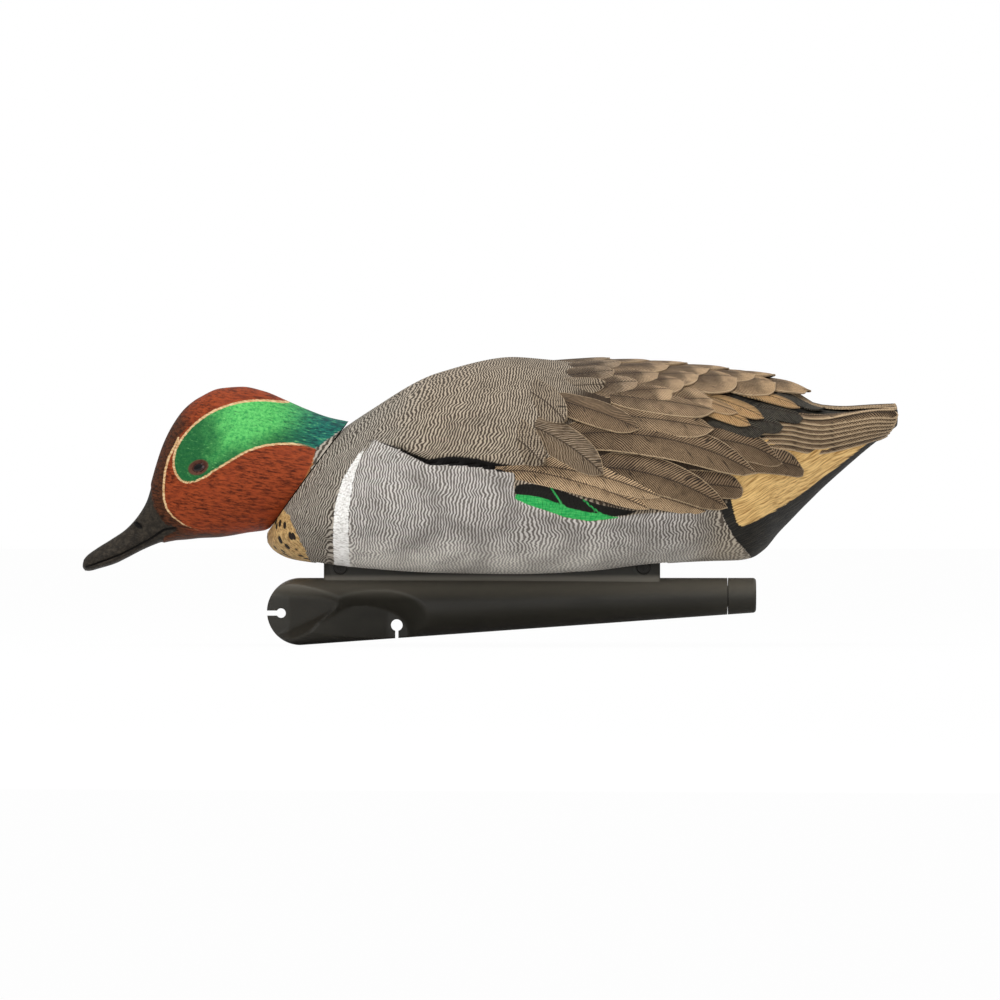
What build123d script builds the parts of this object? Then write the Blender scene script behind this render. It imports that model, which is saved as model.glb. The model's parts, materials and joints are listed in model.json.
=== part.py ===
from build123d import *
import math
import os

# Floating teal decoy: a hollow moulded hull with a swivelling moulded head, and a ballast keel screwed
# under the hull. Millimetres, +Z up. The origin is on the waterline, in the centre plane, above the
# middle of the keel web. The bill points to -X and the tail to +X.

# ---- hull: overall sizes ----
body_length = 236.3  # breast to tail tip
body_width = 116.0
body_height = 81.7  # belly to top of back
body_draft = 12.3  # belly below the waterline
breast_x = -84.4  # foremost point of the breast
body_wall = 2.0
section_points = 20  # points round each hull section

# ---- neck: where the head seats on the hull ----
neck_diameter = 50.4  # head's round foot
neck_tilt = 36.3  # swivel axis above the horizontal, in degrees
neck_x_share = 0.0683  # neck centre behind the breast, as a share of the hull's length
neck_z_share = 0.4468  # neck centre above the belly, as a share of the hull's height
seat_gap = 0.3  # head foot to hull face
swivel_clearance = 0.06  # radial, spigot in socket
socket_radius = 16.0
socket_depth = 13.0
socket_wall = 4.0
spigot_length = 12.0
spigot_wall = 2.6
bead_depth = 5.0  # snap bead below the seat
bead_radius = 1.0
bead_gap = 0.2  # groove round the bead
key_width = 4.0  # limit key on the spigot
key_height = 2.4
key_reach = 1.6  # how far the key stands out of the spigot
key_depth = 9.6  # key centre below the seat
key_gap = 0.25
swivel_limit = 40.0  # degrees each way
blow_hole_radius = 4.0  # moulding hole in the socket's floor
plug_flange_radius = 6.0
plug_flange_thickness = 0.7
plug_tip_length = 2.0  # how far the hull plug stands into the hull
plug_tip_radius = 3.4

# ---- head ----
head_length = 85.75  # neck centre to bill tip, along X
head_height = 57.0
head_width = 48.0
head_wall = 2.2
eye_x_share = 0.488  # eye, as a share of head_length in front of the neck centre
eye_z_share = 0.053  # eye, as a share of head_height above the neck centre
eye_radius = 2.9
eye_depth = 1.1  # how deep the eye button sits in the head
eye_dome = 0.9  # how far it stands out
eye_stem_radius = 1.1
eye_stem_length = 3.4
probe_radius = 0.2  # bar that finds the head's side surface

# ---- keel ----
keel_front_diameter = 25.2
keel_rear_diameter = 13.0
keel_length = 183.4
keel_front_x = -84.4  # tip of the keel's round nose
keel_top = -14.2  # upper line of the keel tube
keel_wall = 1.8
web_length = 126.0
web_thickness = 9.0
web_top = -6.0  # flat seat in the belly
web_corner = 1.2
channel_width = 22.0  # belly channel round the web
channel_margin = 3.0
lug_thickness = 5.4
lug_length = 11.0
lug_inset = 6.2  # lug centre inside the end of the web
lug_clearance = 0.3
lug_bottom_gap = 0.4
web_floor = 1.0  # plastic between a lug pocket and the tube's top line
screw_drop = 4.2  # screw centre below the web's top
screw_radius = 1.5
screw_head_radius = 2.8
screw_head_height = 1.6
screw_recess = 0.8
cross_slot_length = 3.0
cross_slot_width = 0.7
boss_radius = 4.0
boss_height = 0.6

# ---- keel line ties: keyholes in two pinched fins ----
fin_thickness = 4.4
front_tie_radius = 1.9
front_tie_slit = 2.0
front_tie_inset = 5.3  # hole centre behind the nose
front_tie_drop = 13.2  # hole centre below the keel's top line
bottom_tie_radius = 2.3
bottom_tie_slit = 1.3
bottom_tie_inset = 48.7
bottom_tie_rise = 4.9  # hole centre above the keel's lower line
front_pinch_level = 3.0  # the front fin is level up to here behind its hole, and then rises
front_pinch_end = 23.5  # and meets the tube's side here
bottom_pinch_level = -3.2  # the same for the bottom fin, which rises forwards
bottom_pinch_end = -17.0

# ---- keel end plug and ballast ----
end_cap_length = 10.8
end_cap_gap = 0.3
end_cap_fillet = 1.2
end_plug_radius = 4.0
end_plug_length = 9.0
end_plug_clearance = 0.05
end_bore_length = 14.0
ballast_share = 0.6  # share of the keel tube's length that the sand fills
ballast_clearance = 0.2
divider_thickness = 8.0

# Hull stations from breast to tail tip. Shares: distance along the length, then belly, widest line and
# back as shares of the height, half width as a share of half the width, then how square the upper and
# the lower half of the section are (2 is an ellipse).
HULL_STATIONS = [
    (0.000, 0.150, 0.170, 0.195, 0.050, 2.0, 2.0),
    (0.010, 0.112, 0.175, 0.270, 0.270, 2.0, 2.0),
    (0.036, 0.072, 0.205, 0.420, 0.480, 2.0, 2.2),
    (0.086, 0.048, 0.255, 0.585, 0.690, 2.1, 2.3),
    (0.167, 0.023, 0.295, 0.757, 0.865, 2.2, 2.5),
    (0.273, 0.005, 0.325, 0.925, 0.965, 2.2, 2.6),
    (0.400, 0.000, 0.345, 0.999, 1.000, 2.2, 2.7),
    (0.505, 0.012, 0.370, 0.987, 0.975, 2.2, 2.6),
    (0.611, 0.045, 0.420, 0.971, 0.885, 2.2, 2.4),
    (0.704, 0.060, 0.480, 0.949, 0.755, 2.1, 2.3),
    (0.765, 0.072, 0.530, 0.925, 0.650, 2.1, 2.2),
    (0.797, 0.150, 0.575, 0.890, 0.590, 2.1, 2.0),
    (0.840, 0.275, 0.640, 0.835, 0.480, 2.2, 1.8),
    (0.880, 0.390, 0.690, 0.775, 0.380, 2.3, 1.8),
    (0.920, 0.494, 0.712, 0.758, 0.310, 2.4, 1.8),
    (0.960, 0.592, 0.727, 0.761, 0.235, 2.4, 1.9),
    (1.000, 0.680, 0.735, 0.765, 0.140, 2.3, 2.1),
]

# Head sections from the neck to the bill tip. Upper point and lower point as offsets from the neck
# centre (X as a share of head_length, Z as a share of head_height), then width as a share of head_width.
HEAD_SECTIONS = [
    ((0.030, 0.421), (-0.198, -0.364), 1.030),
    ((-0.096, 0.509), (-0.219, -0.368), 1.000),
    ((-0.306, 0.589), (-0.335, -0.396), 0.927),
    ((-0.504, 0.491), (-0.440, -0.409), 0.833),
    ((-0.607, 0.309), (-0.528, -0.409), 0.688),
    ((-0.673, 0.067), (-0.603, -0.416), 0.500),
    ((-0.726, -0.195), (-0.673, -0.435), 0.333),
    ((-0.819, -0.365), (-0.778, -0.505), 0.292),
    ((-0.924, -0.465), (-0.889, -0.595), 0.302),
    ((-0.991, -0.547), (-0.974, -0.635), 0.188),
]
HOLLOW_HEAD_SECTIONS = 6  # the bill ahead of them is solid

# Side outlines of the two pinched places of the keel, as X and Z offsets from the centre of the tie hole.
FRONT_PINCH = [(-8.0, 7.6), (3.5, 6.2), (front_pinch_end, 2.0), (3.5, -6.8), (-8.0, -9.0)]
BOTTOM_PINCH = [(-15.0, 6.6), (-2.0, 6.0), (3.2, 3.6), (4.4, 0.0), (4.8, -12.0), (-11.0, -12.0)]

belly_z = -body_draft
neck_x = breast_x + neck_x_share * body_length
neck_z = belly_z + neck_z_share * body_height
neck_center = Vector(neck_x, 0, neck_z)
tilt = math.radians(neck_tilt)
neck_axis = Vector(-math.cos(tilt), 0, math.sin(tilt))
neck_plane = Plane(origin=neck_center, x_dir=(0, 1, 0), z_dir=neck_axis)
far = 2 * body_length  # larger than the object, for half spaces and long cutters
web_front = -web_length / 2
web_rear = web_length / 2
keel_rear_x = keel_front_x + keel_length
tube_end_x = keel_rear_x - end_cap_length
screw_z = web_top - screw_drop


def hull_section(station, wall):
    """One closed section of the hull, drawn inside its outer line by a wall."""
    along, low, wide, high, half, upper_power, lower_power = station
    z_wide = belly_z + wide * body_height
    rise = (high - wide) * body_height - wall
    drop = (wide - low) * body_height - wall
    reach = half * body_width / 2 - wall
    points = []
    for i in range(section_points):
        angle = 2 * math.pi * i / section_points
        c, s = math.cos(angle), math.sin(angle)
        power = upper_power if s >= 0 else lower_power
        y = math.copysign(abs(c) ** (2 / power), c) * reach
        z = math.copysign(abs(s) ** (2 / power), s) * (rise if s >= 0 else drop)
        points.append((y, z_wide + z))
    x = breast_x + along * body_length
    outline = Plane.YZ.offset(x) * Spline(*points, periodic=True)
    return make_face(outline)


def hull_form(wall=0.0, first=0, last=len(HULL_STATIONS)):
    """The hull's smooth form, or the same form drawn in by a wall."""
    return loft([hull_section(s, wall) for s in HULL_STATIONS[first:last]])


def above_neck(gap):
    """Everything on the head's side of a plane that lies gap above the neck seat."""
    block = Box(far, far, far, align=(Align.CENTER, Align.CENTER, Align.MIN))
    return neck_plane.offset(gap) * block


def on_neck(radius, start, end):
    """A round bar on the swivel axis, from start to end above the seat."""
    bar = Cylinder(radius, end - start, align=(Align.CENTER, Align.CENTER, Align.MIN))
    return neck_plane.offset(start) * bar


def lug_positions():
    return [web_front + lug_inset, web_rear - lug_inset]


def across(radius, x, z, start, end):
    """A round bar along Y, from y = start to y = end."""
    bar = Cylinder(radius, end - start, align=(Align.CENTER, Align.CENTER, Align.MIN))
    return Plane(origin=(x, start, z), x_dir=(1, 0, 0), z_dir=(0, 1, 0)) * bar


def make_body_shell():
    """The hull with its neck socket, belly channel and the lugs that hold the keel."""
    outer = hull_form() - above_neck(0)
    hollow = hull_form(body_wall, 1, -1) - above_neck(-body_wall)
    cup_radius = socket_radius + socket_wall
    hollow -= on_neck(cup_radius, -socket_depth - socket_wall, far)
    channel_length = web_length + 2 * channel_margin
    low = (Align.CENTER, Align.CENTER, Align.MAX)
    channel = Pos(0, 0, web_top) * Box(channel_length, channel_width, far, align=low)
    backing = Pos(0, 0, web_top + body_wall) * Box(
        channel_length + 2 * body_wall, channel_width + 2 * body_wall, far, align=low
    )
    hollow -= backing
    shell = outer - hollow - channel
    shell -= on_neck(socket_radius, -socket_depth, far)
    groove = Torus(socket_radius, bead_radius + bead_gap)
    shell -= neck_plane.offset(-bead_depth) * groove
    shell -= key_sweep()
    shell -= on_neck(blow_hole_radius, -far / 4, -socket_depth)
    shell -= on_neck(plug_flange_radius, -socket_depth - plug_flange_thickness, -socket_depth)
    lug_height = web_top - keel_top - web_floor - lug_bottom_gap
    for x in lug_positions():
        lug = Pos(x, 0, web_top) * Box(lug_length, lug_thickness, lug_height, align=low)
        lug -= across(screw_radius, x, screw_z, -lug_thickness, lug_thickness)
        shell += lug
    return shell


def key_sweep():
    """The curved slot that the limit key turns in. It faces down the breast."""
    reach = socket_radius + key_reach + key_gap
    half_angle = math.degrees(math.asin((key_width / 2 + key_gap) / socket_radius))
    span = 2 * (swivel_limit + half_angle)
    height = key_height + 2 * key_gap
    ring = Cylinder(reach, height, arc_size=span, align=(Align.NONE, Align.NONE, Align.CENTER))
    place = neck_plane.offset(-key_depth) * Rot(0, 0, lowest_angle() - span / 2)
    return place * ring


def lowest_angle():
    """The angle, in the neck plane, of the side that faces down the breast."""
    down = neck_plane.to_local_coords(neck_center + Vector(0, 0, -1))
    return math.degrees(math.atan2(down.Y, down.X))


def make_hull_plug():
    """Seals the moulding hole in the floor of the neck socket."""
    floor = -socket_depth - socket_wall
    plug = on_neck(plug_flange_radius, -socket_depth - plug_flange_thickness, -socket_depth)
    plug += on_neck(blow_hole_radius, floor, -socket_depth - plug_flange_thickness)
    plug += on_neck(plug_tip_radius, floor - plug_tip_length, floor)
    return plug


def head_section(section, wall):
    """One oval section of the head, between an upper and a lower point of its side view."""
    upper, lower, width = section
    top = neck_center + Vector(upper[0] * head_length, 0, upper[1] * head_height)
    bottom = neck_center + Vector(lower[0] * head_length, 0, lower[1] * head_height)
    tall = (top - bottom).length
    normal = Vector(0, 1, 0).cross(top - bottom)
    plane = Plane(origin=(top + bottom) / 2, x_dir=(0, 1, 0), z_dir=normal)
    return plane * Ellipse(width * head_width / 2 - wall, tall / 2 - wall)


def head_form():
    foot = neck_plane.offset(seat_gap) * Circle(neck_diameter / 2)
    return loft([foot] + [head_section(s, 0) for s in HEAD_SECTIONS])


def head_hollow():
    foot = neck_plane.offset(seat_gap + head_wall) * Circle(neck_diameter / 2 - head_wall)
    inner = [head_section(s, head_wall) for s in HEAD_SECTIONS[:HOLLOW_HEAD_SECTIONS]]
    return loft([foot] + inner)


def eye_plane(form, side):
    """A plane on the head's surface at the eye, facing outwards on one side."""
    x = neck_x - eye_x_share * head_length
    z = neck_z + eye_z_share * head_height
    reach = []
    for shift in (-eye_radius, 0, eye_radius):
        probe = across(probe_radius, x + shift, z, 0, head_width)
        reach.append((form & probe).bounding_box().max.Y)
    slope = (reach[2] - reach[0]) / (2 * eye_radius)
    outwards = Vector(-slope, 1, 0).normalized()
    origin = Vector(x, side * reach[1], z)
    return Plane(origin=origin, x_dir=(0, 0, 1), z_dir=(outwards.X, side * outwards.Y, 0))


def eye_body(plane):
    """A domed button with a stem."""
    low = (Align.CENTER, Align.CENTER, Align.MAX)
    button = Cylinder(eye_radius, eye_depth, align=low)
    ball_radius = (eye_radius**2 + eye_dome**2) / (2 * eye_dome)
    ball = Pos(0, 0, eye_dome - ball_radius) * Sphere(ball_radius)
    dome = ball & Cylinder(eye_radius, eye_dome, align=(Align.CENTER, Align.CENTER, Align.MIN))
    stem = Pos(0, 0, -eye_depth) * Cylinder(eye_stem_radius, eye_stem_length, align=low)
    return plane * (button + dome + stem)


def make_head_shell(form, eye_planes):
    """The head with its bill, the spigot that turns in the hull, the snap bead and the limit key."""
    spigot_radius = socket_radius - swivel_clearance
    head = form - head_hollow()
    head += on_neck(spigot_radius, -spigot_length, seat_gap + head_wall)
    head += neck_plane.offset(-bead_depth) * Torus(spigot_radius, bead_radius)
    key_length = spigot_wall + key_reach
    key = Box(key_length, key_width, key_height, align=(Align.MAX, Align.CENTER, Align.CENTER))
    key = Rot(0, 0, lowest_angle()) * Pos(spigot_radius + key_reach, 0, -key_depth) * key
    head += neck_plane * key
    head -= on_neck(spigot_radius - spigot_wall, -far / 4, seat_gap + head_wall)
    for plane in eye_planes:
        low = (Align.CENTER, Align.CENTER, Align.MAX)
        head -= plane * Cylinder(eye_radius, eye_depth, align=low)
        head -= plane * Cylinder(eye_radius, eye_depth, align=(Align.CENTER, Align.CENTER, Align.MIN))
        head -= plane * Cylinder(eye_stem_radius, eye_depth + eye_stem_length, align=low)
    return head


def tube_diameter(x):
    """Keel tube's diameter at x: it tapers evenly from the nose's centre to the rear end."""
    start = keel_front_x + keel_front_diameter / 2
    share = (x - start) / (keel_rear_x - start)
    return keel_front_diameter + share * (keel_rear_diameter - keel_front_diameter)


def tube_circle(x, wall):
    radius = tube_diameter(x) / 2
    return Plane.YZ.offset(x) * Pos(0, keel_top - radius) * Circle(radius - wall)


def tube_form(x_start, x_end, wall=0.0):
    return loft([tube_circle(x_start, wall), tube_circle(x_end, wall)], ruled=True)


def keel_low(x):
    """Lower line of the keel tube."""
    return keel_top - tube_diameter(x)


def front_tie_center():
    return keel_front_x + front_tie_inset, keel_top - front_tie_drop


def bottom_tie_center():
    x = keel_front_x + bottom_tie_inset
    return x, keel_low(x) + bottom_tie_rise


def side_prism(points):
    """A prism right through the keel, with this outline in the side view."""
    face = make_face(Polyline(*[(x, 0, z) for x, z in points], close=True))
    return extrude(face, keel_front_diameter, dir=(0, 1, 0), both=True)


def pinch_outlines():
    """Side outlines of the pinched places round the front tie and round the bottom tie."""
    places = ((front_tie_center(), FRONT_PINCH), (bottom_tie_center(), BOTTOM_PINCH))
    return [[(x + dx, z + dz) for dx, dz in outline] for (x, z), outline in places]


def pinch_cutter(outline, deep_x, level_x):
    """Both side pockets of one pinch: level at deep_x, and rising out of the tube towards level_x."""
    half_fin = fin_thickness / 2
    side = keel_front_diameter
    ahead = deep_x + (deep_x - level_x)
    floor = [(ahead, half_fin), (deep_x, half_fin), (level_x, side / 2), (level_x, side), (ahead, side)]
    prism = side_prism(outline)
    pockets = []
    for sign in (-1, 1):
        points = [(x, sign * y, keel_top) for x, y in floor]
        wedge = extrude(make_face(Polyline(*points, close=True)), 2 * side, dir=(0, 0, -1))
        pockets.append(prism & wedge)
    return pockets


def keyhole(center, radius, slit, toward):
    """A round hole across the keel with a slit out of it, along the direction toward (X, Z)."""
    x, z = center
    cutter = across(radius, x, z, -keel_front_diameter, keel_front_diameter)
    reach = keel_front_diameter
    mid_x, mid_z = x + toward[0] * reach / 2, z + toward[1] * reach / 2
    long_x = reach if toward[0] else slit
    long_z = reach if toward[1] else slit
    return cutter + Pos(mid_x, 0, mid_z) * Box(long_x, 2 * keel_front_diameter, long_z)


def tube_hollow():
    """The space inside the keel tube: open at the rear end, and closed off round the pinches."""
    nose_center = keel_front_x + keel_front_diameter / 2
    inside = tube_form(nose_center, tube_end_x - end_bore_length, keel_wall)
    for outline in pinch_outlines():
        face = make_face(Polyline(*[(x, 0, z) for x, z in outline], close=True))
        grown = offset(face, keel_wall, kind=Kind.INTERSECTION)
        inside -= extrude(grown, keel_front_diameter, dir=(0, 1, 0), both=True)
    return max(inside.solids(), key=lambda s: s.volume)


def end_axis_z():
    return keel_top - tube_diameter(tube_end_x) / 2


def end_bar(radius, start, end):
    """A round bar along X in the rear end of the keel tube."""
    bar = Cylinder(radius, end - start, align=(Align.CENTER, Align.CENTER, Align.MIN))
    return Plane(origin=(start, 0, end_axis_z()), x_dir=(0, 1, 0), z_dir=(1, 0, 0)) * bar


def make_keel_shell():
    """The keel: a tapered tube with a round nose, two pinched tie fins and the web that meets the hull."""
    nose_radius = keel_front_diameter / 2
    nose_center = keel_front_x + nose_radius
    keel = tube_form(nose_center, tube_end_x)
    keel += Pos(nose_center, 0, keel_top - nose_radius) * Sphere(nose_radius)
    web_height = web_top - keel_top + keel_wall
    web = Box(web_length, web_thickness, web_height, align=(Align.CENTER, Align.CENTER, Align.MAX))
    web = fillet(web.edges().filter_by(Axis.Z), web_corner)
    keel += Pos(0, 0, web_top) * web
    half_web = web_thickness / 2
    for x in lug_positions():
        keel += across(boss_radius, x, screw_z, -half_web - boss_height, half_web)
    front, bottom = pinch_outlines()
    nose_x = front_tie_center()[0]
    low_x = bottom_tie_center()[0]
    for pocket in pinch_cutter(front, nose_x + front_pinch_level, nose_x + front_pinch_end):
        keel -= pocket
    for pocket in pinch_cutter(bottom, low_x + bottom_pinch_level, low_x + bottom_pinch_end):
        keel -= pocket
    keel -= keyhole(front_tie_center(), front_tie_radius, front_tie_slit, (-1, 0))
    keel -= keyhole(bottom_tie_center(), bottom_tie_radius, bottom_tie_slit, (0, -1))
    keel -= tube_hollow()
    keel -= end_bar(end_plug_radius + end_plug_clearance, tube_end_x - end_bore_length, tube_end_x)
    low = (Align.CENTER, Align.CENTER, Align.MAX)
    pocket_length = lug_length + 2 * lug_clearance
    pocket_width = lug_thickness + 2 * lug_clearance
    pocket_height = web_top - keel_top - web_floor
    for x in lug_positions():
        pocket = Box(pocket_length, pocket_width, pocket_height, align=low)
        keel -= Pos(x, 0, web_top) * pocket
        keel -= across(screw_radius, x, screw_z, -web_thickness, web_thickness)
    return keel


def make_keel_screws():
    """Two pan head screws that hold the web to the hull's lugs. Heads on the -Y side."""
    seat = -web_thickness / 2 - boss_height
    screws = []
    for x in lug_positions():
        screw = across(screw_radius, x, screw_z, seat, web_thickness / 2)
        head = across(screw_head_radius, x, screw_z, seat - screw_head_height, seat)
        outer_rim = head.edges().filter_by(GeomType.CIRCLE).sort_by(Axis.Y)[0]
        screw += fillet(outer_rim, screw_head_height / 2)
        slot = Box(cross_slot_length, 2 * screw_recess, cross_slot_width)
        for turn in (0, 90):
            screw -= Pos(x, seat - screw_head_height, screw_z) * Rot(0, turn, 0) * slot
        screws.append(screw)
    return Compound(children=screws)


def ballast_span():
    """Where the sand ends inside the tube."""
    start = keel_front_x + keel_front_diameter / 2
    return start + ballast_share * (tube_end_x - start)


def inside_tube(x_end):
    """The tube's inside, drawn in by the ballast's clearance and cut off at x_end."""
    core = tube_form(keel_front_x + keel_front_diameter / 2, tube_end_x, keel_wall + ballast_clearance)
    shrunk = tube_hollow() & core
    keep = Pos(x_end, 0, 0) * Box(far, far, far, align=(Align.MAX, Align.CENTER, Align.CENTER))
    return shrunk & keep


def make_ballast_sand():
    """Sand that fills the front of the keel tube."""
    filled = inside_tube(ballast_span())
    return max(filled.solids(), key=lambda s: s.volume)


def make_ballast_divider():
    """A foam disc behind the sand, which keeps the weight forward."""
    start = ballast_span()
    return tube_form(start, start + divider_thickness, keel_wall)


def make_keel_end_plug():
    """A stopper in the keel's rear end. Its cap carries on the tube's line."""
    start = tube_end_x + end_cap_gap
    cap = tube_form(start, keel_rear_x)
    rim = cap.edges().filter_by(GeomType.CIRCLE).sort_by(Axis.X)[-1]
    cap = fillet(rim, end_cap_fillet)
    return cap + end_bar(end_plug_radius, tube_end_x - end_plug_length, start)


def main():
    os.makedirs("parts", exist_ok=True)
    form = head_form()
    left, right = eye_plane(form, -1), eye_plane(form, 1)
    nodes = {
        "body_shell": make_body_shell(),
        "hull_plug": make_hull_plug(),
        "head_shell": make_head_shell(form, [left, right]),
        "left_eye": eye_body(left),
        "right_eye": eye_body(right),
        "keel_shell": make_keel_shell(),
        "keel_screws": make_keel_screws(),
        "ballast_sand": make_ballast_sand(),
        "ballast_divider": make_ballast_divider(),
        "keel_end_plug": make_keel_end_plug(),
    }
    for name, shape in nodes.items():
        export_step(shape, f"parts/{name}.step")
    print("neck centre", neck_center, "swivel axis", neck_axis)
    print("front tie", front_tie_center(), "bottom tie", bottom_tie_center())


main()
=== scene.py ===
# %% [markdown]
# # A floating teal decoy
# A decoy is a hollow plastic duck that floats on a pond to draw live birds down. This one has a moulded
# hull, a head that swivels on the hull's neck, and a weighted keel below that keeps it upright.
# The working model gives us every size, fit and joint. Here we give it its real surface: the swelling
# body, the laid feathers, the painted face and the satin black keel.
# We start by loading the working model. Its pieces stay where they are, as a skeleton to build round.

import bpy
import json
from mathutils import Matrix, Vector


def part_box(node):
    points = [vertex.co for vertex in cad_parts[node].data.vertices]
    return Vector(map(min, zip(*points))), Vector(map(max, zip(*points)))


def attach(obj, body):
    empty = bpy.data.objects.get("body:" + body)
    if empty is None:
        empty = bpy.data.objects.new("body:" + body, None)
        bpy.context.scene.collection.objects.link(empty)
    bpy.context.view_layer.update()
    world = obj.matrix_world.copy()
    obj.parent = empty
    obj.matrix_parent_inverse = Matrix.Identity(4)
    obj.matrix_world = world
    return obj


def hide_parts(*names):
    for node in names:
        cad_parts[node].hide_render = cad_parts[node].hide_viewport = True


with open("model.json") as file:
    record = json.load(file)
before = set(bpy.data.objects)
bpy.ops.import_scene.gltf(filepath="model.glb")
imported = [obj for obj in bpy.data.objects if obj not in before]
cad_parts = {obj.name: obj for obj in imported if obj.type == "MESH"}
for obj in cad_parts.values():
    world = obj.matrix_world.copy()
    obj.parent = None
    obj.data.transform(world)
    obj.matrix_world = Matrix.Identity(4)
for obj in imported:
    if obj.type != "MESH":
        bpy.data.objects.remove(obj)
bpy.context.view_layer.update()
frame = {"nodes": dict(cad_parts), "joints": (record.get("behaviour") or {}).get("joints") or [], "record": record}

# %% [markdown]
# ## Small tools
# Blender counts in metres and a decoy is drawn in millimetres, so we read and write mesh points in
# millimetres through two short functions. Operators act on whatever is selected, and the loaded pieces
# arrive selected, so each piece begins by clearing the selection.

# %% Tools for points and selections
import json
import math

import bpy
import numpy as np
from mathutils import Matrix, Vector

MM = 0.001


def clear_selection():
    bpy.ops.object.select_all(action="DESELECT")


def select_only(piece):
    """Make one piece the only selected and the active one."""
    clear_selection()
    piece.select_set(True)
    bpy.context.view_layer.objects.active = piece


def read_points(piece):
    """The piece's points in millimetres."""
    points = np.empty(len(piece.data.vertices) * 3, np.float32)
    piece.data.vertices.foreach_get("co", points)
    return points.reshape(-1, 3).astype(float) / MM


def write_points(piece, points):
    """Put the piece's points at these places, in millimetres."""
    piece.data.vertices.foreach_set("co", (points * MM).astype(np.float32).ravel())
    piece.data.update()


def push_out(piece, distance):
    """Move each point along its normal by its own distance, in millimetres."""
    normals = np.empty(len(piece.data.vertices) * 3, np.float32)
    piece.data.vertex_normals.foreach_get("vector", normals)
    write_points(piece, read_points(piece) + normals.reshape(-1, 3) * distance[:, None])


def store(piece, name, values):
    """Keep one number for each point, which a material can read by its name."""
    attribute = piece.data.attributes.new(name, "FLOAT", "POINT")
    attribute.data.foreach_set("value", np.broadcast_to(values, len(piece.data.vertices)).astype(np.float32))


def turn_outward(piece):
    """Make all faces of a closed piece face out."""
    select_only(piece)
    bpy.ops.object.mode_set(mode="EDIT")
    bpy.ops.mesh.select_all(action="SELECT")
    bpy.ops.mesh.normals_make_consistent(inside=False)
    bpy.ops.object.mode_set(mode="OBJECT")


def new_ball(name, segments, rings):
    """A ball to draw out into a form. Returns the piece and its points on a ball of radius 1."""
    clear_selection()
    bpy.ops.mesh.primitive_uv_sphere_add(segments=segments, ring_count=rings, radius=1000 * MM)
    piece = bpy.context.object
    piece.name = name
    return piece, read_points(piece) / 1000


def apply_modifiers(piece):
    select_only(piece)
    for modifier in list(piece.modifiers):
        bpy.ops.object.modifier_apply(modifier=modifier.name)


def print_size(piece):
    piece.data.calc_loop_triangles()
    low, high = read_points(piece).min(0).round(1), read_points(piece).max(0).round(1)
    print(f"{piece.name}: {len(piece.data.loop_triangles)} triangles, from {low} to {high} mm")


# %% [markdown]
# ## Curves and outlines
# A decoy painter works from a pattern: a few points on each line, joined by an even curve. We do the
# same. `through` draws a smooth curve through a few values without swinging past them. `inside` says
# how far a point lies from an outline in the side view, and is negative inside it, so one number can
# drive both the carving of an edge and the paint that stops at it.

# %% Curves, distances and soft steps


def through(places, values, at):
    """A smooth curve through the values, read at other places."""
    places, values = np.asarray(places, float), np.asarray(values, float)
    step = np.diff(places)
    slope = np.diff(values) / step
    tangent = np.concatenate([slope[:1], np.zeros(len(slope) - 1), slope[-1:]])
    level = slope[1:] * slope[:-1] <= 0
    total = np.where(level, 1.0, slope[1:] + slope[:-1])
    tangent[1:-1] = np.where(level, 0.0, 2 * slope[1:] * slope[:-1] / total)
    i = np.clip(np.searchsorted(places, at) - 1, 0, len(step) - 1)
    t = np.clip((at - places[i]) / step[i], 0, 1)
    ends = values[i] * (1 + 2 * t) * (1 - t) ** 2 + values[i + 1] * t * t * (3 - 2 * t)
    return ends + step[i] * (tangent[i] * t * (1 - t) ** 2 - tangent[i + 1] * t * t * (1 - t))


def to_line(points, line, closed=False):
    """Distance from each point to a bent line, and how far along the line its nearest place is."""
    line = np.asarray(line, float)
    ends = np.roll(line, -1, 0) if closed else line[1:]
    best, along, run = np.full(len(points), 1e9), np.zeros(len(points)), 0.0
    for a, b in zip(line, ends):
        d = b - a
        size = max(np.hypot(*d), 1e-9)
        t = np.clip((points - a) @ d / size**2, 0, 1)
        gap = np.hypot(*(points - a - t[:, None] * d).T)
        along = np.where(gap < best, run + t * size, along)
        best = np.minimum(best, gap)
        run += size
    return best, along / run


def inside(points, outline):
    """Distance to a closed outline: negative inside it and positive outside."""
    outline = np.asarray(outline, float)
    gap, _ = to_line(points, outline, closed=True)
    x, z = points.T
    crossings = np.zeros(len(points), bool)
    for (x1, z1), (x2, z2) in zip(outline, np.roll(outline, -1, 0)):
        if z1 != z2:
            crossings ^= ((z1 > z) != (z2 > z)) & (x < (x2 - x1) * (z - z1) / (z2 - z1) + x1)
    return np.where(crossings, -gap, gap)


def step(values, start, end):
    """0 before start, 1 after end, and an even curve between them."""
    t = np.clip((values - start) / (end - start), 0, 1)
    return t * t * (3 - 2 * t)


def bump(values, width):
    """1 at zero, falling away on both sides."""
    return np.exp(-((values / width) ** 2))


def rounded(outline, times=2):
    """The outline with its corners cut off again and again, which leaves a smooth closed curve."""
    outline = np.asarray(outline, float)
    for _ in range(times):
        after = np.roll(outline, -1, 0)
        outline = np.stack([0.75 * outline + 0.25 * after, 0.25 * outline + 0.75 * after], 1).reshape(-1, 2)
    return outline


# %% [markdown]
# ## The hull's form
# The real hull is blow-moulded: a soft tube of plastic is blown out against a carved mould. Its form is
# a row of ribs, like a boat's. Each rib has a belly line, a widest line and a back line, a width, and
# a squareness, where 2 is a plain oval. All are shares of the hull's length, height and half width,
# which the working model gives. Between the ribs every value runs on a smooth curve.

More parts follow.
